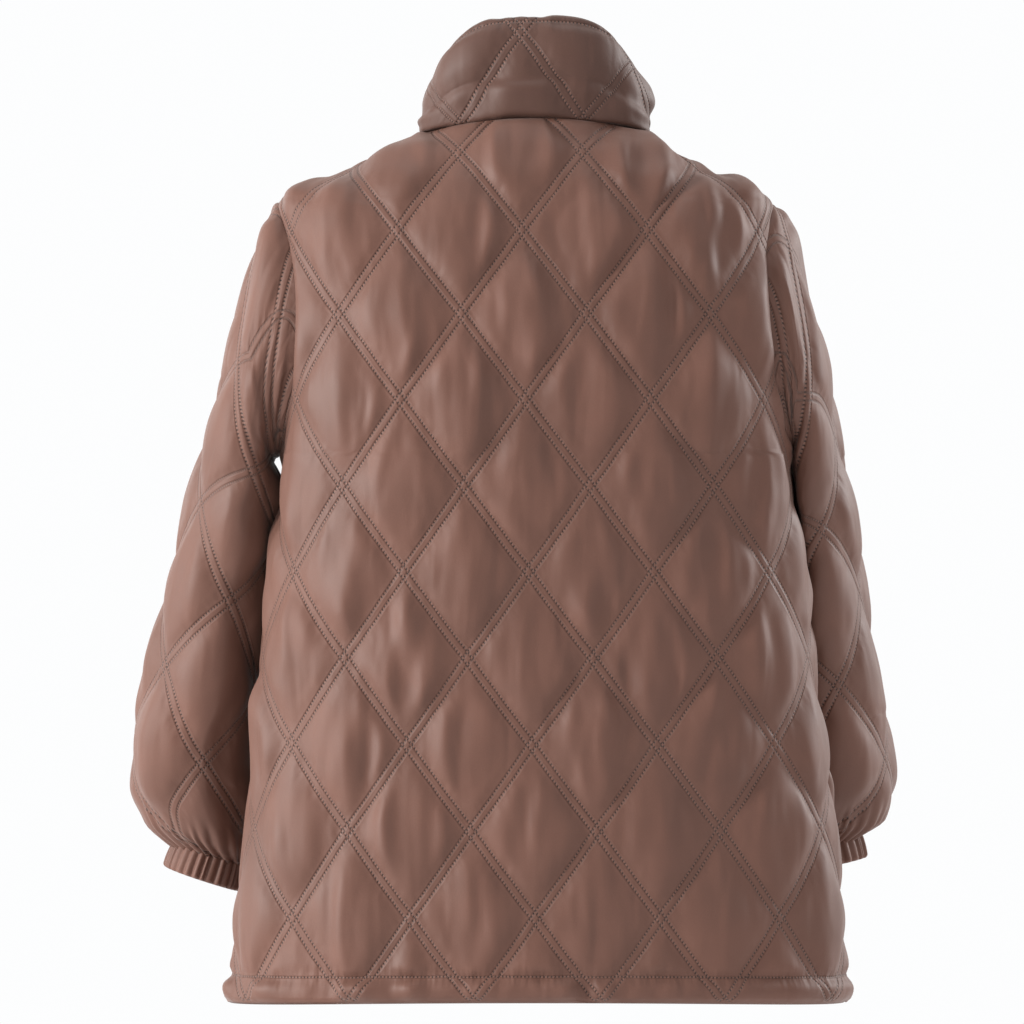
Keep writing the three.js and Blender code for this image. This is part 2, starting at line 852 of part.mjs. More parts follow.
// Levels that the zip follows from hem to collar top, each with the form it lies behind. plain keeps only
// those of the fronts' inside, which has every other row.
function zipLevels(plain) {
  const onBody = bodyLevels().map(({ z }) => ({ form: body, z }));
  const onCollar = collarRows().map(({ z }) => ({ form: collarForm, z }));
  const inside = (list) =>
    list.filter((row, j) => !plain || j % 2 === 0 || j === list.length - 1);
  return [...inside(onBody), ...inside(onCollar)];
}

// A strip along the zip, from low to high across, between two depths from the fronts' inside
function zipStrip(low, high, back, front, plain) {
  const rows = zipLevels(plain).map(({ form, z }, j) => ({
    at: j,
    stops: [low, high].map((at) => ({ at, height: 0, edge: true })),
    place: (across, lift) => {
      const sign = Math.sign(across);
      const round = sign * form.side(z, sign, 2) - across;
      return form.lifted(round, z, back + lift);
    },
  }));
  return wallGeometry(rows, { wall: front - back, coarse: 1 });
}

const ZIP = {
  tapeFrom: 3.3,
  tapeTo: 15,
  tapeThick: 0.8,
  tapeBack: -1.2,
  chainHalf: 3,
  chainBack: -1.8,
  chainFront: 0.9,
};
const SLIDER = { width: 9, length: 12, thick: 1.8, front: 2 };
const BAIL = { thick: 1.6, reach: 7.6, height: 4.2, bar: 1.3 };
const TAB = {
  width: 6.4,
  length: 34,
  thick: 1.4,
  window: 3,
  windowLength: 6.4,
  bar: 1.3,
};

// Where the slider sits: its centre, and the tilt of the zip there
function sliderPlace() {
  const [below, top] = [collarRows().at(-5), collarRows().at(-1)].map(({ z }) =>
    collarForm.place(collarForm.side(z, 1, 2), z),
  );
  const along = top.clone().sub(below).normalize();
  const centre = top.clone().addScaledVector(along, -(SLIDER.length / 2 + 2));
  return { centre, tilt: Math.atan2(-along.y, along.z) };
}

// In the slider's own frame +Y is up the zip, +Z is out of the cloth and X is across.
function onSlider(mesh) {
  const { centre, tilt } = sliderPlace();
  const holder = new THREE.Group();
  holder.position.copy(centre);
  holder.rotation.set(Math.PI / 2 + tilt, 0, 0);
  holder.add(mesh);
  return holder;
}

function toSolid(geometry) {
  const bare = geometry.index ? geometry.toNonIndexed() : geometry.clone();
  bare.deleteAttribute("normal");
  bare.deleteAttribute("uv");
  const merged = mergeVertices(bare, 1e-4);
  return new wasm.Manifold(
    new wasm.Mesh({
      numProp: 3,
      vertProperties: merged.getAttribute("position").array,
      triVerts: new Uint32Array(merged.index.array),
    }),
  );
}

function fromSolid(solid) {
  const { vertProperties, triVerts } = solid.getMesh();
  const geometry = new THREE.BufferGeometry();
  geometry.setAttribute("position", new THREE.BufferAttribute(vertProperties, 3));
  geometry.setIndex(new THREE.BufferAttribute(triVerts, 1));
  return geometry;
}

function roundedRectangle(width, height, radius) {
  const [x, y] = [width / 2, height / 2];
  const shape = new THREE.Shape();
  shape.moveTo(-x + radius, -y);
  shape.lineTo(x - radius, -y);
  shape.absarc(x - radius, -y + radius, radius, -Math.PI / 2, 0);
  shape.lineTo(x, y - radius);
  shape.absarc(x - radius, y - radius, radius, 0, Math.PI / 2);
  shape.lineTo(-x + radius, y);
  shape.absarc(-x + radius, y - radius, radius, Math.PI / 2, Math.PI);
  shape.lineTo(-x, -y + radius);
  shape.absarc(-x + radius, -y + radius, radius, Math.PI, 1.5 * Math.PI);
  return shape;
}

// A plate with a bail: an arch along the zip, under which the tab's top bar sits
function sliderGeometry() {
  const plate = new THREE.ExtrudeGeometry(
    roundedRectangle(SLIDER.width, SLIDER.length, 2.4),
    { depth: SLIDER.thick, bevelEnabled: false, curveSegments: 5 },
  ).translate(0, 0, SLIDER.front);
  const top = SLIDER.front + SLIDER.thick;
  const arch = new THREE.Shape();
  arch.absarc(0, 0, BAIL.reach / 2, 0, Math.PI);
  arch.lineTo(-BAIL.reach / 2, -1);
  arch.lineTo(BAIL.reach / 2, -1);
  const hollow = new THREE.Path();
  hollow.absarc(0, 0.1, BAIL.reach / 2 - BAIL.bar, 0, Math.PI);
  arch.holes.push(hollow);
  const bail = new THREE.ExtrudeGeometry(arch, {
    depth: BAIL.thick,
    bevelEnabled: false,
    curveSegments: 8,
  })
    .translate(0, 0, -BAIL.thick / 2)
    .rotateY(Math.PI / 2)
    .rotateX(Math.PI / 2)
    .translate(0, 0, top);
  return fromSolid(toSolid(plate).add(toSolid(bail)));
}

// The tab hangs from its top bar, whose middle is the pivot at the frame's origin.
function tabGeometry() {
  const shape = roundedRectangle(TAB.width, TAB.length, 2.2);
  const frame = new THREE.ExtrudeGeometry(shape, {
    depth: TAB.thick,
    bevelEnabled: false,
    curveSegments: 5,
  }).translate(0, TAB.bar / 2 - TAB.length / 2, -TAB.thick / 2);
  const opening = new THREE.BoxGeometry(
    TAB.window,
    TAB.windowLength,
    3 * TAB.thick,
  ).translate(0, -TAB.bar / 2 - TAB.windowLength / 2, 0);
  return fromSolid(toSolid(frame).subtract(toSolid(opening)));
}

// The retaining box at the foot of the zip, in front of the chain's first links
function zipBox() {
  const z = BODY_SECTIONS[0].z + 6;
  const foot = body.place(body.side(z, 1, 2), z);
  return new THREE.BoxGeometry(8, 1.6, 9).translate(
    0,
    foot.y - ZIP.chainFront - SEAM_GAP - 1.7,
    foot.z,
  );
}

// Materials
const cloth = new THREE.MeshStandardMaterial({
  name: "quilted_shell",
  color: new THREE.Color(0.2, 0.115, 0.092),
  roughness: 0.55,
  metalness: 0,
});
const tape = new THREE.MeshStandardMaterial({
  name: "zip_tape",
  color: new THREE.Color(0.13, 0.075, 0.06),
  roughness: 0.85,
  metalness: 0,
});
const metal = new THREE.MeshStandardMaterial({
  name: "zip_metal",
  color: new THREE.Color(0.16, 0.11, 0.09),
  roughness: 0.35,
  metalness: 1,
});

function piece(name, geometry, material) {
  const mesh = new THREE.Mesh(geometry, material);
  mesh.name = name;
  return mesh;
}

const jacket = new THREE.Group();
jacket.add(piece("back", backPanel(), cloth));
jacket.add(piece("collar", collarPanel(), cloth));
for (const [side, sign] of Object.entries(SIDES)) {
  const tapeEdges = [sign * ZIP.tapeFrom, sign * ZIP.tapeTo].sort((a, b) => a - b);
  jacket.add(piece(`front_${side}`, frontPanel(sign), cloth));
  jacket.add(piece(`sleeve_${side}`, sleeveGeometry(side), cloth));
  jacket.add(piece(`cuff_${side}`, cuffGeometry(side), cloth));
  jacket.add(
    piece(
      `zip_tape_${side}`,
      zipStrip(...tapeEdges, ZIP.tapeBack - ZIP.tapeThick, ZIP.tapeBack, true),
      tape,
    ),
  );
}
jacket.add(
  piece(
    "zip_chain",
    zipStrip(-ZIP.chainHalf, ZIP.chainHalf, ZIP.chainBack, ZIP.chainFront, false),
    metal,
  ),
);
jacket.add(piece("zip_box", zipBox(), metal));
jacket.add(onSlider(piece("zip_slider", sliderGeometry(), metal)));
const tab = piece("zip_pull", tabGeometry(), metal);
tab.position.set(0, 0, SLIDER.front + SLIDER.thick + 1.35);
jacket.add(onSlider(tab));

export default jacket;
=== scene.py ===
"""Looks of the quilted jacket: every cloth piece as a padded, stitched shell, the zip's teeth, the light
and the camera. Lengths are millimetres until a mesh is made. The forms repeat the sizes in part.mjs."""

import math

import bmesh
import bpy
import numpy as np
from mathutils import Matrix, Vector


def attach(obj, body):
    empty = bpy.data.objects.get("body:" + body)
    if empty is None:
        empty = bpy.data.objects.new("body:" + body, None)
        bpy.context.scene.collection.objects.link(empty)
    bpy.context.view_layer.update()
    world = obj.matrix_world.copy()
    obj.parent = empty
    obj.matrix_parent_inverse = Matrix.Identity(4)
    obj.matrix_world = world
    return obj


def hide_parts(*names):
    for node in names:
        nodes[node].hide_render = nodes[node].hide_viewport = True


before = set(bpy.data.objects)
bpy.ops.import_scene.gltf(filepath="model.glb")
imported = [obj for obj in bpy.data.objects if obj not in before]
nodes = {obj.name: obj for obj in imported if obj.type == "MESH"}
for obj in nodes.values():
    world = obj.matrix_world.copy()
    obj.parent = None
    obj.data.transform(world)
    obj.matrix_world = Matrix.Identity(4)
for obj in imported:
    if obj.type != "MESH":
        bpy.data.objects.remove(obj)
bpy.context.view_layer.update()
MM = 0.001

# Driving sizes, as in part.mjs
WALL = 2.4
SLEEVE_WALL = 1.8
OUTSET = 6.0
FRONT_SQUARE = 2.1
DIAMOND_WIDTH = 98.0
DIAMOND_HEIGHT = 135.5
HEM_DEPTH = 22.0
ARMHOLE_TOP = -53.0
ARMHOLE_BOTTOM = -250.0
ARMHOLE_MIDDLE = (ARMHOLE_TOP + ARMHOLE_BOTTOM) / 2
ARMHOLE_HALF = (ARMHOLE_TOP - ARMHOLE_BOTTOM) / 2
BACK_SCOOP = 52.0
FRONT_SCOOP = 62.0
ZIP_OPENING = 5.5
CUFF_HEIGHT = 23.0
SLEEVE_START = 14.0

# Where the looks depart from the solids
SEAM_LAP = 0.25  # the pieces lap at a seam, so that no light shows through it
SLEEVE_CLEARANCE = {"left": 0.8, "right": 3.5}  # from the body, closer than the solids' sleeves are
START_LESS = 0.85  # how much less far a sleeve runs straight out under the arm
START_SOONER = 0.5  # how much sooner it turns down there

# How the cloth is sewn and how it fills
STEP = 2.5  # between grid lines on the shell
COLLAR_STEP = 2.1  # and between its level ones on the collar
INNER_STRIDE = 4  # the plain inside has every fourth grid line
NEEDLE_GAP = 3.1  # from the middle of a quilting line to each of its two rows of stitches
PAD_CAP = 7.5  # the most that a pad rises
PAD_REACH = 11.0  # how quickly it rises beside its stitches
SEAM_REACH = 7.0  # how quickly it rises beside a seam
CHANNEL = 1.2  # how far the cloth between two rows of stitches stands out
NECK_REACH = 130.0  # how far below the neck the fronts are evened, where their grid is crowded
NECK_ROUNDS = 9
NECK_BLEND = 45.0  # over which that comes in
NECK_TURN = 8.0  # over which a panel's edge turns level at the neck
ROLL = 3.2  # radius of the cloth's turned edges at a seam
COLLAR_STITCH = 5.0  # from the collar's top edge to its stitches
GATHERS = 26  # folds round a sleeve's gathered end
GATHER_REACH = 46.0  # how far the gathers run up a sleeve
GATHER_HEIGHT = 3.6
CUFF_FOLDS = 34
CUFF_WALL = 2.2
CUFF_FOLD = (2.4, 0.9)  # how far its folds stand out, and how much further where they sway
CUFF_SWELL = 0.06  # how much wider it is than the sleeve's end
HEM_PULL = 0.04  # spare cloth that the hem's stitches gather, and how far from them
HEM_PULL_REACH = 14.0
FOLD_WIDTHS = (0.55, 1.45)  # of a gathered edge's folds, beside each other
FOLD_REACHES = (0.35, 1.0)
FOLD_STRENGTHS = (0.55, 1.0)

# Padding beside an armhole: flat first, and for further down the sleeve under the arm than at the shoulder
FLAT_START = (-3.0, 36.0)  # where it starts to rise at the shoulder, and how much lower under the arm
FLAT_REACH = (18.0, 26.0)  # over which it rises, likewise
FLAT_FILL = (0.12, 0.88)  # the share of its height at the armhole, and what the rise adds
CUFF_FLAT = 0.55  # how much lower it is at the cuff

# How the cloth is relaxed
ROUNDS = (110, 45)  # on every other grid line, then on all of them
WADDING_PUSH = 0.05  # how far out in each round
SINK = 0.012  # how far down in each round
CARRY = 0.88  # the share of its last movement that a point keeps
SQUEEZE_HOLD = 0.7  # how firmly cloth stands up to being squeezed, beside 1 for stretch
START_OUT = 2.2  # how far out it starts, and how much that varies
START_VARIES = 1.4
SLIDE = (0.3, 0.5, 6.0)  # sideways room: the least, its share of a pad's height, and the most of that

# Spare cloth round a piece and up it: its share, how much that varies, and in how many cells
SPARE = {
    "body": ((0.042, 0.015, (7, 6)), (0.028, 0.014, (9, 5))),
    "sleeve": ((0.06, 0.02, (7, 5)), (0.05, 0.02, (8, 4))),
    "collar": ((0.05, 0.02, (3, 8)), (0.08, 0.03, (3, 7))),
}

# Soft creases, added to the relaxed cloth. A cell is so many millimetres up the cloth and across it.
CREASE = 6.5  # how far they stand out of a pad
SLEEVE_CREASE = 0.55  # as a share of that
BROAD_CELL = (62, 17)
FINE_CELL = (42, 11)
SWAY_CELL = (90, 60)
PATCH_CELL = (80, 60)
SWAY = 7  # how far they wander to the side
BROAD_SHARE = 0.8
FINE_SHARE = 0.35
CREASE_CAP = 5  # the pad height that carries them whole

# The seed of each piece's noise
SEEDS = {"back": 3, "front": 20, "sleeve": 40, "cuff": 60, "collar": 9}

# Where each piece starts on the shared cloth coordinates, so that a line of stitches is on one piece only
SLEEVE_CLOTH_START = 100.0
CUFF_CLOTH_START = 900.0
COLLAR_CLOTH_TOP = 2000.0
CLOTH_UNIT = 100.0  # millimetres for each unit of the cloth's pattern layers

# Quilting: one crossing of its lines on the flat cloth, and its lean to one side with height
QUILT = {
    "back": (11.0, 609.5, -0.019),
    "front": (0.0, 609.5, 0.0),
    "collar": (12.0, 68.0, 0.0),
    "left": (46.0, 109.0, 0.0),
    "right": (26.0, 182.0, 0.0),
}

# Level sections: z, left, right, back, front, middle, rise, drop, square, crown
BODY = np.array(
    [
        [-688, 251, 252, 122, 156, 16, 6, 0, 2.2, 2],
        [-666, 245, 250, 120, 152, 16, 5, 0, 2.2, 2],
        [-600, 239, 245, 118, 150, 16, 3, 0, 2.25, 2],
        [-528, 231, 237, 116, 150, 15, 0, 0, 2.3, 2],
        [-448, 225, 226, 114, 149, 15, 0, 0, 2.35, 2],
        [-390, 220, 221, 113, 148, 15, 0, 0, 2.4, 2],
        [-336, 212, 214, 113, 146, 14, 0, 0, 2.5, 2],
        [-270, 205, 206, 113, 144, 14, 0, 0, 2.6, 2],
        [-200, 205, 202, 112, 140, 12, 0, 2, 2.7, 2],
        [-140, 206, 200, 107, 132, 8, 0, 6, 2.7, 2],
        [-88, 208, 195, 99, 118, 3, 0, 17, 2.6, 2],
        [-57, 210, 193, 93, 108, 0, 0, 29, 2.4, 2],
        [-48, 206, 189, 90, 103, -1, 2, 32, 2.3, 2],
        [-40, 186, 172, 87, 99, -2, 6, 35, 2.25, 2],
        [-32, 164, 148, 82, 93, -3, 10, 38, 2.2, 2],
        [-20, 141, 130, 75, 85, -4, 12, 42, 2.15, 2],
        [-10, 113, 109, 68, 76, -5, 13, 45, 2.1, 2],
        [-2, 98, 97, 62, 69, -5, 12, 48, 2.1, 2],
        [2, 94, 94, 60, 67, -5, 11, 49, 2.1, 2],
        [6, 93, 93, 59.5, 66.5, -5, 10, 49, 2.1, 2],
    ]
)
COLLAR = np.array(
    [
        [6, 93, 93, 59.5, 66.5, -5, 10, 49, 2.1, 2],
        [10, 94.5, 94, 61, 67.5, -5, 15, 47, 2.1, 2.2],
        [15, 95, 94.5, 63, 68, -5, 24, 43, 2.1, 2.6],
        [20, 93, 93.5, 60, 65, -5, 28, 41, 2.1, 3],
        [28, 94, 95, 62, 65, -6, 33, 38, 2.1, 3.4],
        [39, 91, 92, 59, 62, -7, 38, 34, 2.1, 3.8],
        [49, 85, 87, 55, 59, -8, 41, 31, 2.1, 3.6],
        [54, 81, 83, 52, 57, -8, 41, 30, 2.1, 3.5],
    ]
)
# Sleeve sections: length down the outer side, x, y, z, lean in degrees, half width across, half depth
SLEEVES = {
    "left": np.array(
        [
            [85, 220, 2, -196, 14, 62, 62],
            [135, 229, -8, -224, 25, 46, 68],
            [190, 233, -20, -265, 46, 45, 72],
            [250, 242, -34, -308, 62, 44, 73],
            [320, 254.5, -48, -371, 70, 47, 72],
            [390, 266, -58, -439, 73, 51, 70],
            [445, 277, -64, -492, 73, 53, 66],
            [484, 277, -68, -531, 73, 55, 58],
            [508, 271, -71, -557, 73, 50, 48],
            [520, 261, -72, -573, 72, 35, 36],
        ]
    ),
    "right": np.array(
        [
            [85, 207, 0, -196, 11, 61, 62],
            [135, 215, -14, -224, 22, 45, 68],
            [190, 216, -32, -268, 42, 42, 72],
            [250, 221, -52, -313, 62, 41, 73],
            [320, 226.5, -72, -374, 72, 43, 72],
            [390, 235, -88, -442, 76, 46, 70],
            [440, 239, -98, -492, 78, 52, 66],
            [478, 242, -103, -528, 79, 53, 58],
            [502, 239, -106, -551, 79, 50, 48],
            [512, 231, -107, -563, 78, 36, 36],
        ]
    ),
}
SIGN = {"left": 1, "right": -1}
SIDEWAYS = np.array([1.0, 0, 0])


# Arithmetic shared by every piece
def smooth(x):
    t = np.clip(x, 0, 1)
    return t * t * (3 - 2 * t)


def signed_power(x, power):
    return np.sign(x) * np.abs(x) ** power


def unit(v):
    return v / np.maximum(np.linalg.norm(v, axis=-1, keepdims=True), 1e-9)


def run_lengths(points):
    """Length along each line of points, from its first one."""
    steps = np.linalg.norm(np.diff(points, axis=-2), axis=-1)
    return np.concatenate([np.zeros(steps.shape[:-1] + (1,)), np.cumsum(steps, axis=-1)], axis=-1)


def sections_at(table, at):
    """Rows of the table at places between its own: a cubic that never overshoots them."""
    keys = table[:, 0]
    at = np.atleast_1d(at).astype(float)
    i = np.clip(np.searchsorted(keys, at, side="right") - 1, 0, len(keys) - 2)
    slopes = np.diff(table, axis=0) / np.diff(keys)[:, None]
    product = slopes[:-1] * slopes[1:]
    total = slopes[:-1] + slopes[1:]
    inner = np.where(product > 0, 2 * product / np.where(total == 0, 1, total), 0)
    tangents = np.vstack([slopes[:1], inner, slopes[-1:]])
    span = (keys[i + 1] - keys[i])[:, None]
    u = (at[:, None] - keys[i][:, None]) / span
    v = 1 - u
    return (
        table[i] * v * v * (1 + 2 * u)
        + table[i + 1] * u * u * (3 - 2 * u)
        + tangents[i] * span * u * v * v
        - tangents[i + 1] * span * u * u * v
    )


def blended(corner, u, v):
    """A value between four corners, each 0 or 1 down and along."""
    return (
        corner(0, 0) * (1 - u) * (1 - v)
        + corner(1, 0) * u * (1 - v)
        + corner(0, 1) * (1 - u) * v
        + corner(1, 1) * u * v
    )


def noise_field(shape, cells, seed):
    """Smooth noise from -1 to 1 on a grid: random values on a coarse grid, joined by smooth curves."""
    rng = np.random.default_rng(seed)
    rows, columns = (max(int(c), 2) for c in cells)
    coarse = rng.uniform(-1, 1, (rows + 2, columns + 2))
    r = np.linspace(0, rows, shape[0])
    c = np.linspace(0, columns, shape[1])
    i = r.astype(int)
    j = c.astype(int)
    u = smooth(r - i)[:, None]
    v = smooth(c - j)[None, :]
    return blended(lambda a, b: coarse[np.ix_(i + a, j + b)], u, v)


# Forms: stacks of level rings. A point is given by its distance round from the centre back, and its z.
RING_TURNS = np.linspace(-math.pi, math.pi, 721)
RING_BACK = 360
RING_QUARTER = 180


class Form:
    def __init__(self, table):
        self.table = table

    def rings(self, z):
        """(points, distances round from the centre back) of the ring at each z."""
        s = sections_at(self.table, z)[:, :, None]
        sine = np.sin(RING_TURNS)[None, :]
        cosine = np.cos(RING_TURNS)[None, :]
        power = 2 / np.where(cosine > 0, s[:, 8], FRONT_SQUARE)
        half = np.where(sine > 0, s[:, 1], s[:, 2]) - OUTSET
        depth = np.where(cosine > 0, s[:, 3], s[:, 4]) - OUTSET
        back_lift = s[:, 6] * (1 - np.abs(sine) ** s[:, 9])
        lift = np.where(cosine > 0, back_lift, -s[:, 7] * cosine**2)
        points = np.stack(
            [
                half * signed_power(sine, power),
                s[:, 5] + depth * signed_power(cosine, power),
                s[:, 0] + lift,
            ],
            axis=-1,
        )
        lengths = run_lengths(points)
        return points, lengths - lengths[:, RING_BACK : RING_BACK + 1]

    def side(self, z, sign, quarters):
        """Distance round from the centre back to the side seam (quarters 1) or the centre front (2)."""
        lengths = self.rings(z)[1]
        return np.abs(lengths[:, RING_BACK + sign * quarters * RING_QUARTER])

    def place(self, across, z):
        """Points for a grid of distances round (rows, columns), one z for each row."""
        points, lengths = self.rings(z)
        out = np.empty(across.shape + (3,))
        for r in range(len(z)):
            for axis in range(3):
                out[r, :, axis] = np.interp(across[r], lengths[r], points[r, :, axis])
        return out

    def up_lengths(self):
        """Fine levels from hem to neck, with the length up the centre back and up the side to each."""
        z = np.linspace(self.table[0, 0], self.table[-1, 0], 700)
        points, _ = self.rings(z)
        back = points[:, RING_BACK]
        side = points[:, RING_BACK + RING_QUARTER]
        return z, run_lengths(back), run_lengths(side)

    def levels(self, step, stride):
        """Levels for a grid's rows, about a step apart wherever the form slopes most, and each one's length
        up the centre back. Their count fits the stride of the inside."""
        z, back, side = self.up_lengths()
        steepest = np.concatenate([[0], np.cumsum(np.maximum(np.diff(back), 0.8 * np.diff(side)))])
        count = stride * max(1, round(steepest[-1] / step / stride))
        at = np.linspace(0, steepest[-1], count + 1)
        rows = np.interp(at, steepest, z)
        return rows, np.interp(rows, z, back)


def armhole_scoop(z, depth):
    share = np.clip((z - ARMHOLE_MIDDLE) / ARMHOLE_HALF, -1, 1)
    return depth * np.sqrt(1 - share * share)


def lattice(quilt, across, up):
    """(U, V) on the flat cloth: each is a whole number on the stitch lines that lean one way."""
    origin, height, lean = QUILT[quilt]
    s = (across - origin - lean * (height - up)) / DIAMOND_WIDTH
    t = (up - height) / DIAMOND_HEIGHT
    return s + t, s - t


def along_grid(grid, axis, closed):
    """Change of a grid's values from one line to the next, by central differences."""
    if closed and axis == 1:
        return (np.roll(grid, -1, axis=1) - np.roll(grid, 1, axis=1)) / 2
    return np.gradient(grid, axis=axis)


def line_gauge(points, value):
    """Millimetres of cloth for each unit of a value that varies over a grid of points."""
    a = np.gradient(points, axis=0)
    b = np.gradient(points, axis=1)
    va = np.gradient(value, axis=0)
    vb = np.gradient(value, axis=1)
    aa = (a * a).sum(-1)
    bb = (b * b).sum(-1)
    ab = (a * b).sum(-1)
    area = np.maximum(aa * bb - ab * ab, 1e-6)
    steep = (va**2 * bb - 2 * va * vb * ab + vb**2 * aa) / area
    return 1 / np.sqrt(np.maximum(steep, 1e-8))


def quilting(quilt, points, across, up):
    """The pattern layers of a grid of cloth, and how far each point is from each family of its lines."""
    lines = lattice(quilt, across, up)
    gauges = [line_gauge(points, line) for line in lines]
    away = [np.abs(line - np.round(line)) * gauge for line, gauge in zip(lines, gauges)]
    return {"quilt": np.stack(lines, -1), "gauge": np.stack(gauges, -1) / CLOTH_UNIT}, away


def outward(points, closed):
    normal = unit(np.cross(along_grid(points, 0, closed), along_grid(points, 1, closed)))
    for _ in range(3):
        blurred = normal.copy()
        blurred[1:-1] += normal[:-2] + normal[2:]
        if closed:
            blurred += np.roll(normal, 1, axis=1) + np.roll(normal, -1, axis=1)
        else:
            blurred[:, 1:-1] += normal[:, :-2] + normal[:, 2:]
        normal = unit(blurred)
    return normal


# Filling a shell: the cloth is longer than the form it is stitched to, and the wadding pushes it out.
def relax(base, normal, rest, cap, slide, rounds, closed, start):
    """base and normal: the form's grid. rest: spare length (round, up) as shares. cap: the furthest out at
    each point. slide: how far a point may move sideways. Returns the settled grid."""
    x = (base + normal * np.minimum(start, cap)[..., None]).astype(np.float32)
    base = base.astype(np.float32)
    normal = normal.astype(np.float32)
    cap = cap.astype(np.float32)
    slide = slide.astype(np.float32)
    spare_round, spare_up = rest
    families = []

    def family(first, second, spare, stiff):
        apart = np.linalg.norm(base[second] - base[first], axis=-1)
        length = apart * (1 + (spare[first] + spare[second]) / 2)
        families.append((first, second, length.astype(np.float32), stiff))

    rows, columns = base.shape[:2]
    for odd in (0, 1):
        low = slice(odd, columns - 1, 2)
        n = len(range(odd, columns - 1, 2))
        family((slice(None), low), (slice(None), slice(odd + 1, odd + 1 + 2 * n, 2)), spare_round, 1.0)
        m = len(range(odd, rows - 1, 2))
        family((slice(odd, rows - 1, 2),), (slice(odd + 1, odd + 1 + 2 * m, 2),), spare_up, 1.0)
    mean = (spare_round + spare_up) / 2
    for odd in (0, 1):
        m = len(range(odd, rows - 1, 2))
        low = slice(odd, rows - 1, 2)
        high = slice(odd + 1, odd + 1 + 2 * m, 2)
        family((low, slice(0, columns - 1)), (high, slice(1, columns)), mean, 0.5)
        family((low, slice(1, columns)), (high, slice(0, columns - 1)), mean, 0.5)
    before = x.copy()
    down = np.array([0, 0, -SINK], np.float32)
    for _ in range(rounds):
        speed = CARRY * (x - before)
        before = x.copy()
        x = x + speed + normal * WADDING_PUSH + down
        for first, second, length, stiff in families:
            gap = x[second] - x[first]
            size = np.maximum(np.sqrt((gap * gap).sum(-1)), 1e-6)
            hold = np.where(size > length, stiff, SQUEEZE_HOLD * stiff)
            shift = gap * (0.5 * hold * (size - length) / size)[..., None]
            x[first] += shift
            x[second] -= shift
        if closed:
            seam = x[:, 0] + x[:, -1]
            x[:, 0] = seam / 2
            x[:, -1] = seam / 2
        moved = x - base
        out = (moved * normal).sum(-1)
        sideways = moved - normal * out[..., None]
        far = np.maximum(np.sqrt((sideways * sideways).sum(-1)), 1e-6)
        sideways *= np.minimum(1, slide / far)[..., None]
        out = np.clip(out, 0, cap)
        x = base + sideways + normal * out[..., None]
    return x.astype(float)


def settle_cloth(base, normal, rest, cap, slide, seed, closed=False):
    """relax on every other grid line first, where long creases form quickly, then on all of them."""
    shape = base.shape[:2]
    start = START_OUT + START_VARIES * noise_field(shape, (shape[0] / 6, shape[1] / 5), seed)
    start = start * np.clip(cap / 6, 0, 1)
    coarse = tuple(np.unique(np.append(np.arange(0, n, 2), n - 1)) for n in shape)
    pick = np.ix_(*coarse)
    rough = relax(
        base[pick],
        normal[pick],
        tuple(r[pick] for r in rest),
        cap[pick],
        slide[pick],
        ROUNDS[0],
        closed,
        start[pick],
    )
    moved = rough - base[pick]
    full = np.empty(base.shape)
    for axis in range(3):
        by_row = np.array([np.interp(np.arange(shape[1]), coarse[1], line) for line in moved[..., axis]])
        full[..., axis] = np.array(
            [np.interp(np.arange(shape[0]), coarse[0], line) for line in by_row.T]
        ).T
    out = (full * normal).sum(-1)
    level = base + full - normal * out[..., None]
    settled = relax(level, normal, rest, cap, slide, ROUNDS[1], closed, out)
    return base + evened(settled - base, closed)


def evened(moved, closed, rounds=2):
    """The same movement with its sharpest folds evened out."""
    for _ in range(rounds):
        soft = moved.copy()
        soft[1:-1] = (moved[:-2] + 2 * moved[1:-1] + moved[2:]) / 4
        wide = soft.copy()
        wide[:, 1:-1] = (soft[:, :-2] + 2 * soft[:, 1:-1] + soft[:, 2:]) / 4
        if closed:
            join = (soft[:, 1] + 2 * soft[:, 0] + soft[:, -2]) / 4
            wide[:, 0] = join
            wide[:, -1] = join
        moved = wide
    return moved


def noise_at(down, along, seed):
    """Smooth noise from -1 to 1 at places that are given in cells."""
    count = 97
    table = np.random.default_rng(seed).uniform(-1, 1, (count, count))
    i = np.floor(down).astype(int)
    j = np.floor(along).astype(int)
    u = smooth(down - i)
    v = smooth(along - j)
    return blended(lambda a, b: table[(i + a) % count, (j + b) % count], u, v)


def creases(across, height, cap, seed):
    """Soft creases that run mostly up the cloth, and how far they stand out at each place on it."""

    def cells(cell, shift, number):
        return noise_at(height / cell[0], (across + shift) / cell[1], seed + number)

    sway = SWAY * cells(SWAY_CELL, 0, 73)
    broad = cells(BROAD_CELL, sway, 70)
    fine = cells(FINE_CELL, sway, 71)
    patchy = 0.55 + 0.45 * cells(PATCH_CELL, 0, 72)
    wave = BROAD_SHARE * broad + FINE_SHARE * fine
    return CREASE * patchy * wave * np.clip(cap / CREASE_CAP, 0, 1) ** 1.3


def spare_cloth(kind, shape, seed):
    """Spare cloth round a piece and up it, which varies from place to place."""
    return [
        share + varies * noise_field(shape, cells, seed + number)
        for number, (share, varies, cells) in enumerate(SPARE[kind])
    ]


def slide_room(cap):
    """How far a point may move sideways: further where the pad is high."""
    least, share, most = SLIDE
    return least + share * np.clip(cap, 0, most)


def pad_cap(first, second):
    """The furthest that the cloth stands out, at a distance from the nearest line of each quilting family."""
    pad = PAD_CAP
    for distance in (first, second):
        pad = pad * (1 - np.exp(-np.maximum(distance - NEEDLE_GAP, 0) / PAD_REACH))
    nearest = np.minimum(first, second)
    channel = CHANNEL * (1 - np.minimum(nearest / NEEDLE_GAP, 1) ** 2)
    return np.where(nearest < NEEDLE_GAP, channel, pad)


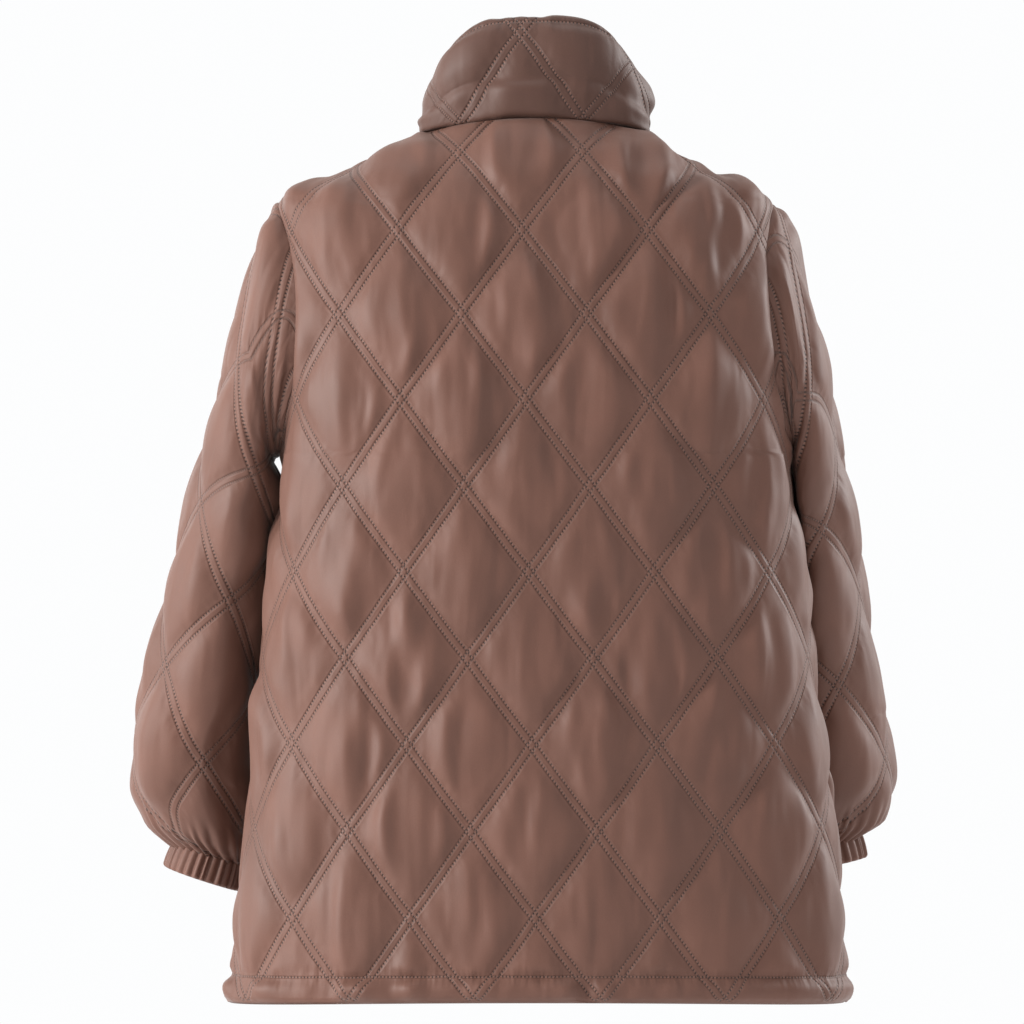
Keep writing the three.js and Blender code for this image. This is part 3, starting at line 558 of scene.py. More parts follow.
def seam_cap(distance):
    return PAD_CAP * (1 - np.exp(-np.maximum(distance - 1, 0) / SEAM_REACH))


def rolled(distance):
    """1 inside a piece, falling to 0 at its edge on a quarter circle."""
    t = np.clip(distance / ROLL, 0, 1)
    return np.sqrt(1 - (1 - t) ** 2)


# Meshes
def quads(ids):
    """The faces between neighbours on a grid of point numbers."""
    return np.stack([ids[:-1, :-1], ids[:-1, 1:], ids[1:, 1:], ids[1:, :-1]], -1).reshape(-1, 4)


def linked(name, data):
    made = bpy.data.objects.new(name, data)
    bpy.context.scene.collection.objects.link(made)
    return made


def shell_faces(rows, columns, stride, closed):
    """Faces of a shell: an outer grid, an inner grid with every stride-th line, and the rims between."""
    count = rows * columns
    inner_rows = (rows - 1) // stride + 1
    inner_columns = columns // stride if closed else (columns - 1) // stride + 1
    outer_id = np.arange(count).reshape(rows, columns)
    inner_id = count + np.arange(inner_rows * inner_columns).reshape(inner_rows, inner_columns)
    if closed:
        outer_id = np.hstack([outer_id, outer_id[:, :1]])
        inner_id = np.hstack([inner_id, inner_id[:, :1]])

    def rim(fine, coarse):
        faces = []
        for k in range(len(coarse) - 1):
            for j in range(stride):
                faces.append((coarse[k], fine[k * stride + j], fine[k * stride + j + 1]))
            faces.append((coarse[k], fine[(k + 1) * stride], coarse[k + 1]))
        return faces

    rims = rim(outer_id[0], inner_id[0]) + rim(outer_id[-1], inner_id[-1])
    if not closed:
        rims += rim(outer_id[:, 0], inner_id[:, 0]) + rim(outer_id[:, -1], inner_id[:, -1])
    return quads(outer_id), quads(inner_id)[:, ::-1], rims


def shell(name, outer, inner, layers, materials, closed=False):
    """A closed cloth shell. layers: {uv name: (rows, columns, 2) values}, with one more column than outer
    where it is closed, so that a pattern can run on round it."""
    rows, columns = outer.shape[:2]
    outside, inside, rims = shell_faces(rows, columns, INNER_STRIDE, closed)
    points = np.vstack([outer.reshape(-1, 3), inner.reshape(-1, 3)]) * MM
    faces = outside.tolist() + inside.tolist() + [tuple(int(i) for i in face) for face in rims]
    mesh = bpy.data.meshes.new(name)
    mesh.from_pydata(points.tolist(), [], faces)
    for material in materials:
        mesh.materials.append(material)
    plain = np.zeros(len(faces), np.int32)
    plain[len(outside) :] = 1
    mesh.polygons.foreach_set("material_index", plain)
    mesh.polygons.foreach_set("use_smooth", np.ones(len(faces), bool))
    for layer_name, values in layers.items():
        rows, columns = values.shape[:2]
        corners = quads(np.arange(rows * columns).reshape(rows, columns)).reshape(-1)
        uv = np.full((len(mesh.loops), 2), 0.5, np.float32)
        uv[: len(corners)] = values.reshape(-1, 2)[corners]
        layer = mesh.uv_layers.new(name=layer_name)
        layer.data.foreach_set("uv", uv.reshape(-1))
    face_out(mesh)
    return linked(name, mesh)


def face_out(mesh):
    work = bmesh.new()
    work.from_mesh(mesh)
    bmesh.ops.recalc_face_normals(work, faces=work.faces)
    work.to_mesh(mesh)
    work.free()
    mesh.update()


def finish_cloth(piece, node):
    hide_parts(node)
    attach(piece, "jacket")


def sewn(node, outer, inner, layers, materials, cut, surface=None, closed=False):
    """A cloth piece. cut: the width and length of what shows; not used. surface: its grid, where its area is
    less; not used.
    """
    piece = shell(f"{node}_shell", outer, inner, layers, materials, closed)
    finish_cloth(piece, node)


# The body's panels
body = Form(BODY)
collar_form = Form(COLLAR)


def spread(low, high):
    """Distances round for a grid's points, from each row's low to its high, about a step apart."""
    columns = INNER_STRIDE * round((high - low).max() / STEP / INNER_STRIDE) + 1
    return low[:, None] + (high - low)[:, None] * np.linspace(0, 1, columns)[None, :]


def body_panel(node, quilt, edges, across_origin, materials, seed):
    """One panel of the body. edges(z): its two edges as distances round. across_origin(z): where the
    quilting's zero is."""
    z, up = body.levels(STEP, INNER_STRIDE)
    low, high = edges(z)
    across = spread(low, high)
    points = body.place(across, z)
    normal = outward(points, False)
    top = up[-1]
    near_neck = smooth((NECK_TURN - (top - up)) / NECK_TURN)[:, None]
    normal[..., 2] *= 1 - near_neck
    normal = unit(normal)
    height = np.repeat(up[:, None], across.shape[1], axis=1)
    layers, away = quilting(quilt, points, across - across_origin(z)[:, None], height)
    edge = np.minimum(across - low[:, None], high[:, None] - across)
    ends = np.minimum(height, top - height)
    from_hem = np.abs(height - HEM_DEPTH)
    cap = np.minimum(pad_cap(*away), seam_cap(edge))
    cap = np.minimum(cap, np.minimum(seam_cap(top - height), seam_cap(from_hem + 0.5)))
    hem_cap = np.minimum(np.minimum(seam_cap(from_hem), 1.5 + 0.4 * height), seam_cap(edge))
    cap = np.where(height < HEM_DEPTH, hem_cap, cap)
    roll = rolled(edge) * rolled(ends)
    base = points + normal * (WALL * roll)[..., None]
    spare_round, spare_up = spare_cloth("body", base.shape[:2], seed)
    spare_round = spare_round + HEM_PULL * np.exp(-((from_hem / HEM_PULL_REACH) ** 2))
    outer = settle_cloth(base, normal, (spare_round, spare_up), cap, slide_room(cap), seed)
    outer = outer + normal * creases(across, height, cap, seed)[..., None]
    if node != "back":
        by_neck = smooth((height - (top - NECK_REACH)) / NECK_BLEND)[..., None]
        outer = outer + by_neck * (evened(outer - base, False, NECK_ROUNDS) - (outer - base))
    layers["cloth"] = np.stack([across, height], -1) / CLOTH_UNIT
    inner = points[::INNER_STRIDE, ::INNER_STRIDE]
    sewn(node, outer, inner, layers, materials, ((high - low).max(), top), points)


def back_edges(z):
    scoop = armhole_scoop(z, BACK_SCOOP)
    return (
        -(body.side(z, -1, 1) - scoop + SEAM_LAP),
        body.side(z, 1, 1) - scoop + SEAM_LAP,
    )


def front_edges(sign):
    def edges(z):
        seam = body.side(z, sign, 1) + armhole_scoop(z, FRONT_SCOOP) - SEAM_LAP
        front = body.side(z, sign, 2) - ZIP_OPENING
        return (seam, front) if sign > 0 else (-front, -seam)

    return edges


# Sleeves
SLEEVE_TURNS = np.linspace(-math.pi, math.pi, 433)
SLEEVE_OUTSIDE = 216
SLEEVE_STRIDES = 46  # round a sleeve
CUFF_STRIDES = 84  # round a cuff


def armhole_points(sign, turn):
    """Points round the armhole's edge on the form: turn is 0 at the shoulder, a quarter at the back."""
    z = ARMHOLE_MIDDLE + (ARMHOLE_HALF + SEAM_LAP) * np.cos(turn)
    depth = np.where(np.sin(turn) > 0, -(BACK_SCOOP + SEAM_LAP), FRONT_SCOOP + SEAM_LAP)
    across = sign * (body.side(z, sign, 1) + np.abs(np.sin(turn)) * depth)
    return body.place(across[:, None], z)[:, 0]


def clear_of_body(points, clearance):
    """Keeps a sleeve outside the body: a point too near moves out."""
    flat = points.reshape(-1, 3)
    s = sections_at(BODY, np.maximum(flat[:, 2], BODY[0, 0]))
    y = flat[:, 1] - s[:, 5]
    half = np.where(flat[:, 0] > 0, s[:, 1], s[:, 2]) + clearance
    depth = np.where(y > 0, s[:, 3], s[:, 4]) + clearance
    square = np.where(y > 0, s[:, 8], FRONT_SQUARE)
    reach = (np.abs(flat[:, 0] / half) ** square + np.abs(y / depth) ** square) ** (1 / square)
    soft = 0.01
    pushed = (1 + soft * np.log1p(np.exp(np.minimum((reach - 1) / soft, 60)))) / reach
    grow = np.where(reach > 1.25, 1, pushed)
    moved = np.stack([flat[:, 0] * grow, s[:, 5] + y * grow, flat[:, 2]], -1)
    return moved.reshape(points.shape)


def tube_points(side, along, turn):
    s = sections_at(SLEEVES[side], along)
    lean = np.radians(s[:, 4])
    sign = SIGN[side]
    zero = np.zeros_like(lean)
    out = np.stack([sign * np.sin(lean), zero, np.cos(lean)], -1)
    centre = np.stack([sign * s[:, 1], s[:, 2], s[:, 3]], -1)
    points = centre[:, None] + out[:, None] * ((s[:, 5] - OUTSET)[:, None] * np.cos(turn)[None])[..., None]
    points[..., 1] += (s[:, 6] - OUTSET)[:, None] * np.sin(turn)[None]
    return clear_of_body(points, SLEEVE_CLEARANCE[side])


def sleeve_rings(side, along, turn):
    """Rings of a sleeve, which bend from straight out of the armhole to its own way down."""
    sign = SIGN[side]
    clear = SLEEVES[side][0, 0]
    points = tube_points(side, np.maximum(along, clear), turn)
    under = (1 - np.cos(turn)) / 2
    start = armhole_points(sign, turn)
    bend = start + (1 - START_LESS * under)[:, None] * np.array([sign * SLEEVE_START, 0, 0])
    end = tube_points(side, np.array([clear]), turn)[0]
    for r in np.flatnonzero(along < clear):
        share = ((along[r] / clear) ** (1 - START_SOONER * under))[:, None]
        first = start + (bend - start) * share
        second = bend + (end - bend) * share
        points[r] = first + (second - first) * share
    return points


def sleeve_axis(side, along):
    """The way that a sleeve runs at each distance along it."""
    clear = SLEEVES[side][0, 0]
    lean = np.radians(sections_at(SLEEVES[side], np.maximum(along, clear))[:, 4])
    lean = lean * np.minimum(along / clear, 1)
    return np.stack([SIGN[side] * np.cos(lean), np.zeros_like(lean), -np.sin(lean)], -1)


def even_rings(side, along, columns):
    """Sleeve rings with evenly spaced points, and the distance round from the outer side to each. The last
    column repeats the first."""
    fine = sleeve_rings(side, along, SLEEVE_TURNS)
    lengths = run_lengths(fine)
    lengths = lengths - lengths[:, SLEEVE_OUTSIDE : SLEEVE_OUTSIDE + 1]
    points = np.empty((len(along), columns + 1, 3))
    across = np.empty((len(along), columns + 1))
    share = np.linspace(0, 1, columns + 1)
    for r in range(len(along)):
        at = lengths[r, 0] + (lengths[r, -1] - lengths[r, 0]) * share
        across[r] = at
        for axis in range(3):
            points[r, :, axis] = np.interp(at, lengths[r], fine[r, :, axis])
    return points, across


def gather_folds(turns, share_up, count, seed):
    """Irregular lengthwise folds round a gathered edge, 0 to 1. share_up is 1 at the edge and 0 where the
    folds have died out."""
    rng = np.random.default_rng(seed)
    edges = np.cumsum(rng.uniform(*FOLD_WIDTHS, count))
    edges = edges / edges[-1]
    reach = rng.uniform(*FOLD_REACHES, count)
    strength = rng.uniform(*FOLD_STRENGTHS, count)
    at = np.clip((turns / (2 * math.pi) + 0.5), 0, 1)
    index = np.minimum(np.searchsorted(edges, at, side="right"), count - 1)
    start = np.where(index > 0, edges[index - 1], 0)
    phase = (at - start) / (edges[index] - start)
    fold = np.sin(math.pi * np.clip(phase, 0, 1)) ** 1.3
    alive = smooth((share_up - (1 - reach[index])) / np.maximum(reach[index], 0.05))
    return fold * alive * strength[index]


def sleeve_piece(side, materials, seed):
    sign = SIGN[side]
    length = SLEEVES[side][-1, 0]
    rows = INNER_STRIDE * round(length / STEP / INNER_STRIDE)
    columns = INNER_STRIDE * SLEEVE_STRIDES
    along = np.linspace(0, length + SEAM_LAP, rows + 1)
    points, across = even_rings(side, along, columns)
    ring = points[:, :-1]
    axis = sleeve_axis(side, along)
    normal = unit(np.cross(axis[:, None], along_grid(ring, 1, True))) * sign
    surface_normal = outward(ring, True)
    facing = np.sign((surface_normal * normal).sum(-1).mean())
    turn_to_surface = smooth((along - 30) / 60)[:, None, None]
    normal = unit(normal * (1 - turn_to_surface) + facing * surface_normal * turn_to_surface)
    normal = np.concatenate([normal, normal[:, :1]], axis=1)
    height = np.repeat(along[:, None], columns + 1, axis=1)
    layers, away = quilting(side, points, across, height)
    round_half = across[:, -1:]
    under_seam = round_half - np.abs(across)
    turn = across / round_half * math.pi
    under = (1 - np.cos(turn)) / 2
    cap = np.minimum(pad_cap(*away), seam_cap(under_seam + 9))
    risen = (height - FLAT_START[0] - FLAT_START[1] * under) / (FLAT_REACH[0] + FLAT_REACH[1] * under)
    cap = np.minimum(cap, seam_cap(height + 1.5)) * (FLAT_FILL[0] + FLAT_FILL[1] * smooth(risen))
    near_cuff = np.clip((height - (length - GATHER_REACH)) / GATHER_REACH, 0, 1)
    cap = cap * (1 - CUFF_FLAT * smooth(near_cuff * 1.3))
    base = points + normal * (SLEEVE_WALL * rolled(height + 0.2))[..., None]
    spare_round, spare_up = spare_cloth("sleeve", base.shape[:2], seed)
    spare_round = spare_round + 0.05 * near_cuff
    slide = slide_room(cap) * smooth(under_seam / 8 + 0.1)
    outer = settle_cloth(base, normal, (spare_round, spare_up), cap, slide, seed, closed=True)
    outer = outer + normal * (SLEEVE_CREASE * creases(across, height, cap, seed))[..., None]
    folds = gather_folds(turn, near_cuff, GATHERS, seed + 2)
    outer = outer + normal * (GATHER_HEIGHT * folds * smooth(near_cuff * 1.6))[..., None]
    layers["cloth"] = np.stack([across, height + SLEEVE_CLOTH_START], -1) / CLOTH_UNIT
    inner = ring[::INNER_STRIDE, ::INNER_STRIDE]
    cut = ((2 * round_half).max(), length)
    sewn(f"sleeve_{side}", outer[:, :-1], inner, layers, materials, cut, points, closed=True)


def cuff_piece(side, materials, seed):
    """A gathered elastic band, on from the sleeve's last ring in the direction that the sleeve ends."""
    sign = SIGN[side]
    last = SLEEVES[side][-1]
    points, across = even_rings(side, np.array([last[0]]), INNER_STRIDE * CUFF_STRIDES)
    lean = math.radians(last[4])
    down = np.array([sign * math.cos(lean), 0, -math.sin(lean)])
    centre = np.array([sign * last[1], last[2], last[3]])
    radial = points[0] - centre
    size = np.linalg.norm(radial, axis=-1, keepdims=True)
    rows = INNER_STRIDE * 5
    at = np.linspace(-SEAM_LAP, CUFF_HEIGHT, rows + 1)
    share = at / CUFF_HEIGHT
    grow = 1 + CUFF_SWELL * np.sin(math.pi * np.clip(share * 0.62, 0, 1))
    turn = across[0] / across[0, -1] * math.pi
    folds = gather_folds(turn, np.ones_like(turn), CUFF_FOLDS, seed)
    sway = 0.5 + 0.5 * np.sin(np.outer(share * 2.2, np.ones_like(turn)) + 5 * turn)
    from_edge = np.minimum(at, CUFF_HEIGHT - at)
    wall = CUFF_WALL * rolled(from_edge + 0.5)
    folded = folds[None, :] * (CUFF_FOLD[0] + CUFF_FOLD[1] * sway) * rolled(from_edge + 0.8)[:, None]
    plain = centre + radial[None] * grow[:, None, None] + down * at[:, None, None]
    outer = plain + (radial / size)[None] * (wall[:, None] + folded)[..., None]
    between = np.full(outer.shape[:2], 0.5)  # halfway between lines: a cuff isn't quilted
    cloth = np.stack(np.broadcast_arrays(across[0][None], at[:, None] + CUFF_CLOTH_START), -1) / CLOTH_UNIT
    layers = {
        "quilt": np.stack([between, between], -1),
        "gauge": np.stack([between + 0.5, between + 0.5], -1),
        "cloth": cloth,
    }
    inner = plain[::INNER_STRIDE, :-1:INNER_STRIDE]
    cut = (2 * across[0, -1], CUFF_HEIGHT)
    sewn(f"cuff_{side}", outer[:, :-1], inner, layers, materials, cut, closed=True)


def collar_piece(materials, seed):
    z, up = collar_form.levels(COLLAR_STEP, INNER_STRIDE)
    first = z[0] - SEAM_LAP
    z = first + (z - z[0]) * (z[-1] - first) / (z[-1] - z[0])
    fine_z, fine_up, _ = collar_form.up_lengths()
    up = np.interp(z, fine_z, fine_up)
    low = -(collar_form.side(z, -1, 2) - ZIP_OPENING)
    high = collar_form.side(z, 1, 2) - ZIP_OPENING
    across = spread(low, high)
    points = collar_form.place(across, z)
    normal = outward(points, False)
    top = up[-1]
    height = np.repeat(up[:, None], across.shape[1], axis=1)
    normal[..., 2] *= smooth(height / NECK_TURN)
    normal = unit(normal)
    layers, away = quilting("collar", points, across, height)
    edge = np.minimum(across - low[:, None], high[:, None] - across)
    from_stitch = np.abs(top - height - COLLAR_STITCH)
    cap = np.minimum(pad_cap(*away), seam_cap(edge)) * 0.85
    cap = np.minimum(cap, np.minimum(seam_cap(height), seam_cap(from_stitch)))
    from_edge = np.minimum(edge, np.minimum(height + 0.6, top - height))
    base = points + normal * (WALL * rolled(from_edge))[..., None]
    spare = spare_cloth("collar", base.shape[:2], seed)
    outer = settle_cloth(base, normal, spare, cap, slide_room(cap), seed)
    layers["cloth"] = np.stack([across, height - top + COLLAR_CLOTH_TOP], -1) / CLOTH_UNIT
    inner = points[::INNER_STRIDE, ::INNER_STRIDE]
    sewn("collar", outer, inner, layers, materials, ((high - low).max(), top), points)


# The zip's teeth
TOOTH_PITCH = 2.6
TOOTH = (3.0, 1.45, 2.3)  # across, along the zip, thick
TOOTH_OFFSET = 1.15  # from the centre line to a tooth's middle
TOOTH_SINK = 0.45  # how far behind the front's surface it sits
TOOTH_NARROW = 0.72  # its outer end, beside its inner end
TOOTH_BEVEL = 0.28


def zip_path():
    """Points up the centre front, from hem to collar top, with the way up and the way out at each."""
    points = []
    for form in (body, collar_form):
        z = np.linspace(form.table[0, 0] + 0.5, form.table[-1, 0] - 0.5, 400)
        points.append(form.rings(z)[0][:, -1])
    line = np.vstack(points)
    lengths = run_lengths(line)
    at = np.arange(9, lengths[-1] - 10, TOOTH_PITCH / 2)
    path = np.stack([np.interp(at, lengths, line[:, axis]) for axis in range(3)], -1)
    path[:, 0] = 0
    up = unit(np.gradient(path, axis=0))
    out = np.cross(up, SIDEWAYS)
    out *= np.sign(-out[:, 1:2])
    return path, up, out


def zip_teeth(material):
    path, up, out = zip_path()
    work = bmesh.new()
    across, along, thick = (size / 2 for size in TOOTH)
    for k in range(len(path)):
        side = 1 if k % 2 else -1
        middle = path[k] + SIDEWAYS * side * TOOTH_OFFSET - out[k] * TOOTH_SINK
        corners = []
        for a in (-1, 1):
            for b in (-1, 1):
                for c in (-1, 1):
                    narrow = TOOTH_NARROW if a != side else 1.0
                    point = middle + SIDEWAYS * a * across + up[k] * b * along * narrow
                    point = point + out[k] * c * thick
                    corners.append(work.verts.new(Vector((point * MM).tolist())))
        for face in ((0, 1, 3, 2), (4, 6, 7, 5), (0, 4, 5, 1), (2, 3, 7, 6), (0, 2, 6, 4), (1, 5, 7, 3)):
            work.faces.new([corners[i] for i in face])
    bmesh.ops.recalc_face_normals(work, faces=work.faces)
    bevel = TOOTH_BEVEL * MM
    bmesh.ops.bevel(work, geom=list(work.edges), offset=bevel, segments=1, affect="EDGES", profile=0.5)
    mesh = bpy.data.meshes.new("zip_teeth")
    work.to_mesh(mesh)
    work.free()
    mesh.materials.append(material)
    piece = linked("zip_teeth", mesh)
    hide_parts("zip_chain")
    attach(piece, "jacket")


CORD_HALF = 3.8  # the zip's edge cords, from the centre line
CORD_FRONT = -1.7
CORD_BACK = -2.3


def zip_cord(material):
    """The tapes' inner edges, which carry the teeth and meet behind them."""
    path, up, out = zip_path()
    corners = ((-1, CORD_FRONT), (1, CORD_FRONT), (1, CORD_BACK), (-1, CORD_BACK))
    rings = np.stack([path + SIDEWAYS * side * CORD_HALF + out * depth for side, depth in corners], 1)
    ids = np.arange(len(path) * 4).reshape(-1, 4)
    turned = np.roll(ids, -1, axis=1)
    faces = np.stack([ids[:-1], turned[:-1], turned[1:], ids[1:]], -1).reshape(-1, 4).tolist()
    faces += [ids[0].tolist(), ids[-1].tolist()]
    mesh = bpy.data.meshes.new("zip_cord")
    mesh.from_pydata((rings.reshape(-1, 3) * MM).tolist(), [], faces)
    mesh.materials.append(material)
    face_out(mesh)
    piece = linked("zip_cord", mesh)
    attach(piece, "jacket")


# Materials
class Graph:
    """Short calls for a material's nodes. A value is a socket or a number."""

    def __init__(self, name):
        self.material = bpy.data.materials.new(name)
        self.material.use_nodes = True
        self.tree = self.material.node_tree
        self.shader = self.tree.nodes["Principled BSDF"]

    def node(self, kind, **settings):
        made = self.tree.nodes.new(kind)
        for key, value in settings.items():
            setattr(made, key, value)
        return made

    def link(self, value, socket):
        if isinstance(value, bpy.types.NodeSocket):
            self.tree.links.new(value, socket)
        else:
            socket.default_value = value

    def math(self, operation, *values):
        made = self.node("ShaderNodeMath", operation=operation)
        for value, socket in zip(values, made.inputs):
            self.link(value, socket)
        return made.outputs[0]

    def ramp(self, value, low, high, start=0.0, end=1.0):
        made = self.node("ShaderNodeMapRange")
        made.interpolation_type = "SMOOTHSTEP"
        for socket, number in zip(made.inputs, (value, low, high, start, end)):
            self.link(number, socket)
        return made.outputs[0]

    def uv(self, name):
        made = self.node("ShaderNodeUVMap", uv_map=name)
        split = self.node("ShaderNodeSeparateXYZ")
        self.tree.links.new(made.outputs[0], split.inputs[0])
        return split.outputs[0], split.outputs[1]

    def vector(self, x, y, z=0.0):
        made = self.node("ShaderNodeCombineXYZ")
        for value, socket in zip((x, y, z), made.inputs):
            self.link(value, socket)
        return made.outputs[0]

    def noise(self, vector, scale, detail=2.0, roughness=0.5, distortion=0.0):
        made = self.node("ShaderNodeTexNoise")
        self.link(vector, made.inputs["Vector"])
        made.inputs["Scale"].default_value = scale
        made.inputs["Detail"].default_value = detail
        made.inputs["Roughness"].default_value = roughness
        made.inputs["Distortion"].default_value = distortion
        return made.outputs["Fac"]

    def cells(self, first, second, cell, phase, *settings):
        """Noise in cells of so many millimetres each way."""
        x = self.math("DIVIDE", first, cell[0])
        y = self.math("DIVIDE", second, cell[1])
        return self.noise(self.vector(x, y, phase), 1.0, *settings)

    def place(self):
        """Each point's place on its own piece, in metres."""
        return self.node("ShaderNodeTexCoord").outputs["Object"]

    def joined(self, operation, values):
        out = values[0]
        for value in values[1:]:
            out = self.math(operation, out, value)
        return out

    def mix(self, share, first, second):
        made = self.node("ShaderNodeMix", data_type="RGBA")
        self.link(share, made.inputs[0])
        for value, socket in ((first, made.inputs[6]), (second, made.inputs[7])):
            self.link(value, socket)
        return made.outputs[2]

    def bump(self, height):
        """height is in millimetres."""
        made = self.node("ShaderNodeBump")
        made.inputs["Strength"].default_value = 1.0
        made.inputs["Distance"].default_value = MM
        self.link(height, made.inputs["Height"])
        return made.outputs[0]


CLOTH_LIGHT = (0.09, 0.0385, 0.0262, 1)
CLOTH_DARK = (0.071, 0.0295, 0.0195, 1)
THREAD = (0.115, 0.056, 0.041, 1)
# Painted shade, near black, in the needle holes between stitches
HOLE_SHADE = (0.01, 0.005, 0.004, 1)
LATTICE_EDGE = math.hypot(DIAMOND_WIDTH / 2, DIAMOND_HEIGHT / 2)  # from one crossing to the next
# Painted shade: the collar is the same cloth as the body, darkened to two thirds of its colour
COLLAR_SHADE_SCALE = 0.66
METAL_LIGHT = (0.2, 0.14, 0.115, 1)
METAL_DARK = (0.12, 0.08, 0.065, 1)
METAL_ROUGHNESS = 0.36
SPECULAR = 0.26
SHEEN = 0.06
SHEEN_TINT = (1.0, 0.9, 0.84, 1)
CLOTH_ROUGHNESS = (0.56, 0.64)

# Stitches, in millimetres
STITCH = 2.9
THREAD_REACH = (0.35, 1.0)  # from the row: where the thread is whole, and where it ends
HOLE_SHARE = (0.16, 0.24)  # of a stitch, from its end: where the hole ends, and where the thread is whole
GROOVE_REACH = 1.9
PUCKER_CELL = (11.0, 30.0)  # along a quilting line and away from it
PUCKER_START = (2.6, 4.4)
PUCKER_END = (3.4, 17.0)
ROW_PUCKER_CELL = (7.5, 40.0)  # the same on a level row
ROW_PUCKER_END = (0.6, 16.0)
ROW_PUCKER = 1.8

# Relief of the cloth, in millimetres
FOLD_CELL = (17.0, 52.0)
FOLD_RELIEF = 2.2
PUCKER_RELIEF = 1.3
GROOVE_RELIEF = 0.7
THREAD_RELIEF = 0.22
HOLE_RELIEF = 0.45
TWILL_RELIEF = 0.008
TWILL_LEAN = 1.6
TWILL_TURN = 5.2  # radians for each millimetre
SLUB_RELIEF = 0.05
SLUB_SCALE = 0.85
TONE_CELL = (70.0, 70.0)


def stitches(g, from_row, along):
    """(thread, hole, groove) of one row of stitches: from_row is the distance from it, along runs on it."""
    on_row = g.ramp(from_row, *THREAD_REACH, 1.0, 0.0)
    beat = g.math("FRACT", g.math("DIVIDE", along, STITCH))
    thread_share = g.ramp(g.math("PINGPONG", beat, 0.5), *HOLE_SHARE)
    thread = g.math("MULTIPLY", on_row, thread_share)
    hole = g.math("MULTIPLY", on_row, g.math("SUBTRACT", 1.0, thread_share))
    groove = g.ramp(from_row, 0.0, GROOVE_REACH, 1.0, 0.0)
    return thread, hole, groove


def quilt_line(g, value, along, gauge, phase):
    """One family of twin stitch lines: its stitches, its groove and the puckers beside it."""
    off = g.math("SUBTRACT", value, g.math("ROUND", value))
    distance = g.math("MULTIPLY", g.math("ABSOLUTE", off), gauge)
    from_row = g.math("ABSOLUTE", g.math("SUBTRACT", distance, NEEDLE_GAP))
    length = g.math("MULTIPLY", along, LATTICE_EDGE)
    signed = g.math("MULTIPLY", off, gauge)
    ripple = g.math("SUBTRACT", g.cells(length, signed, PUCKER_CELL, phase, 1.5), 0.5)
    near = g.math("MULTIPLY", g.ramp(distance, *PUCKER_END, 1.0, 0.0), g.ramp(distance, *PUCKER_START))
    return *stitches(g, from_row, length), g.math("MULTIPLY", ripple, near)


def cloth_material(name, quilted=True, rows=(), shade_scale=1.0):
    """The satiny shell. rows are heights on the cloth, in millimetres, of level lines of stitches. The last
    argument darkens all its colours, as painted shade; only the collar uses it.
    """
    g = Graph(name)
    across, up = (g.math("MULTIPLY", part, CLOTH_UNIT) for part in g.uv("cloth"))
    sewn = []
    if quilted:
        u, v = g.uv("quilt")
        gauge_u, gauge_v = g.uv("gauge")
        for value, other, gauge, phase in ((u, v, gauge_u, 3.0), (v, u, gauge_v, 11.0)):
            sewn.append(quilt_line(g, value, other, g.math("MULTIPLY", gauge, CLOTH_UNIT), phase))
    for row in rows:
        from_row = g.math("ABSOLUTE", g.math("SUBTRACT", up, row))
        ripple = g.math("SUBTRACT", g.cells(across, up, ROW_PUCKER_CELL, 21.0, 1.5), 0.5)
        near = g.ramp(from_row, *ROW_PUCKER_END, ROW_PUCKER, 0.0)
        sewn.append((*stitches(g, from_row, across), g.math("MULTIPLY", ripple, near)))
    folds = g.math("MULTIPLY", g.cells(across, up, FOLD_CELL, 5.0, 1.0, 0.4, 0.3), FOLD_RELIEF)
    patches = g.cells(across, up, TONE_CELL, 9.0, 3.0, 0.55)
    slub = g.noise(g.vector(across, up, 0.0), SLUB_SCALE, 2.0)
    leaning = g.math("ADD", across, g.math("MULTIPLY", up, TWILL_LEAN))
    twill = g.math("SINE", g.math("MULTIPLY", leaning, TWILL_TURN))
    weave = g.math("ADD", g.math("MULTIPLY", twill, TWILL_RELIEF), g.math("MULTIPLY", slub, SLUB_RELIEF))
    tone_share = g.math("ADD", g.math("MULTIPLY", patches, 0.75), g.math("MULTIPLY", slub, 0.3))
    # Painted shade: every colour of the piece is scaled down by the last argument
    light = tuple(c * shade_scale for c in CLOTH_LIGHT[:3]) + (1,)
    dark = tuple(c * shade_scale for c in CLOTH_DARK[:3]) + (1,)
    color = g.mix(g.ramp(tone_share, 0.3, 0.75), dark, light)
    height = g.math("ADD", folds, weave)
    if sewn:
        threads, holes, grooves, puckers = zip(*sewn)
        thread = g.joined("MAXIMUM", threads)
        hole = g.joined("MAXIMUM", holes)
        groove = g.joined("MAXIMUM", grooves)
        # Painted shade: the cloth is darkened along each stitch row's groove, and the needle holes are
        # painted near black; the thread keeps its own colour.
        shade = tuple(c * 0.5 * shade_scale for c in CLOTH_DARK[:3]) + (1,)
        for part, share, paint in ((groove, 0.22, shade), (thread, 0.75, THREAD), (hole, 0.72, HOLE_SHADE)):
            color = g.mix(g.math("MULTIPLY", part, share), color, paint)
        height = g.math("ADD", height, g.math("MULTIPLY", g.joined("ADD", puckers), PUCKER_RELIEF))
        height = g.math("SUBTRACT", height, g.math("MULTIPLY", groove, GROOVE_RELIEF))
        height = g.math("ADD", height, g.math("MULTIPLY", thread, THREAD_RELIEF))
        height = g.math("SUBTRACT", height, g.math("MULTIPLY", hole, HOLE_RELIEF))
    g.link(color, g.shader.inputs["Base Color"])
    g.link(g.ramp(patches, 0.3, 0.7, *CLOTH_ROUGHNESS), g.shader.inputs["Roughness"])
    g.link(g.bump(height), g.shader.inputs["Normal"])
    g.shader.inputs["Specular IOR Level"].default_value = SPECULAR
    g.shader.inputs["Sheen Weight"].default_value = SHEEN
    g.shader.inputs["Sheen Roughness"].default_value = 0.5
    g.shader.inputs["Sheen Tint"].default_value = SHEEN_TINT
    return g.material


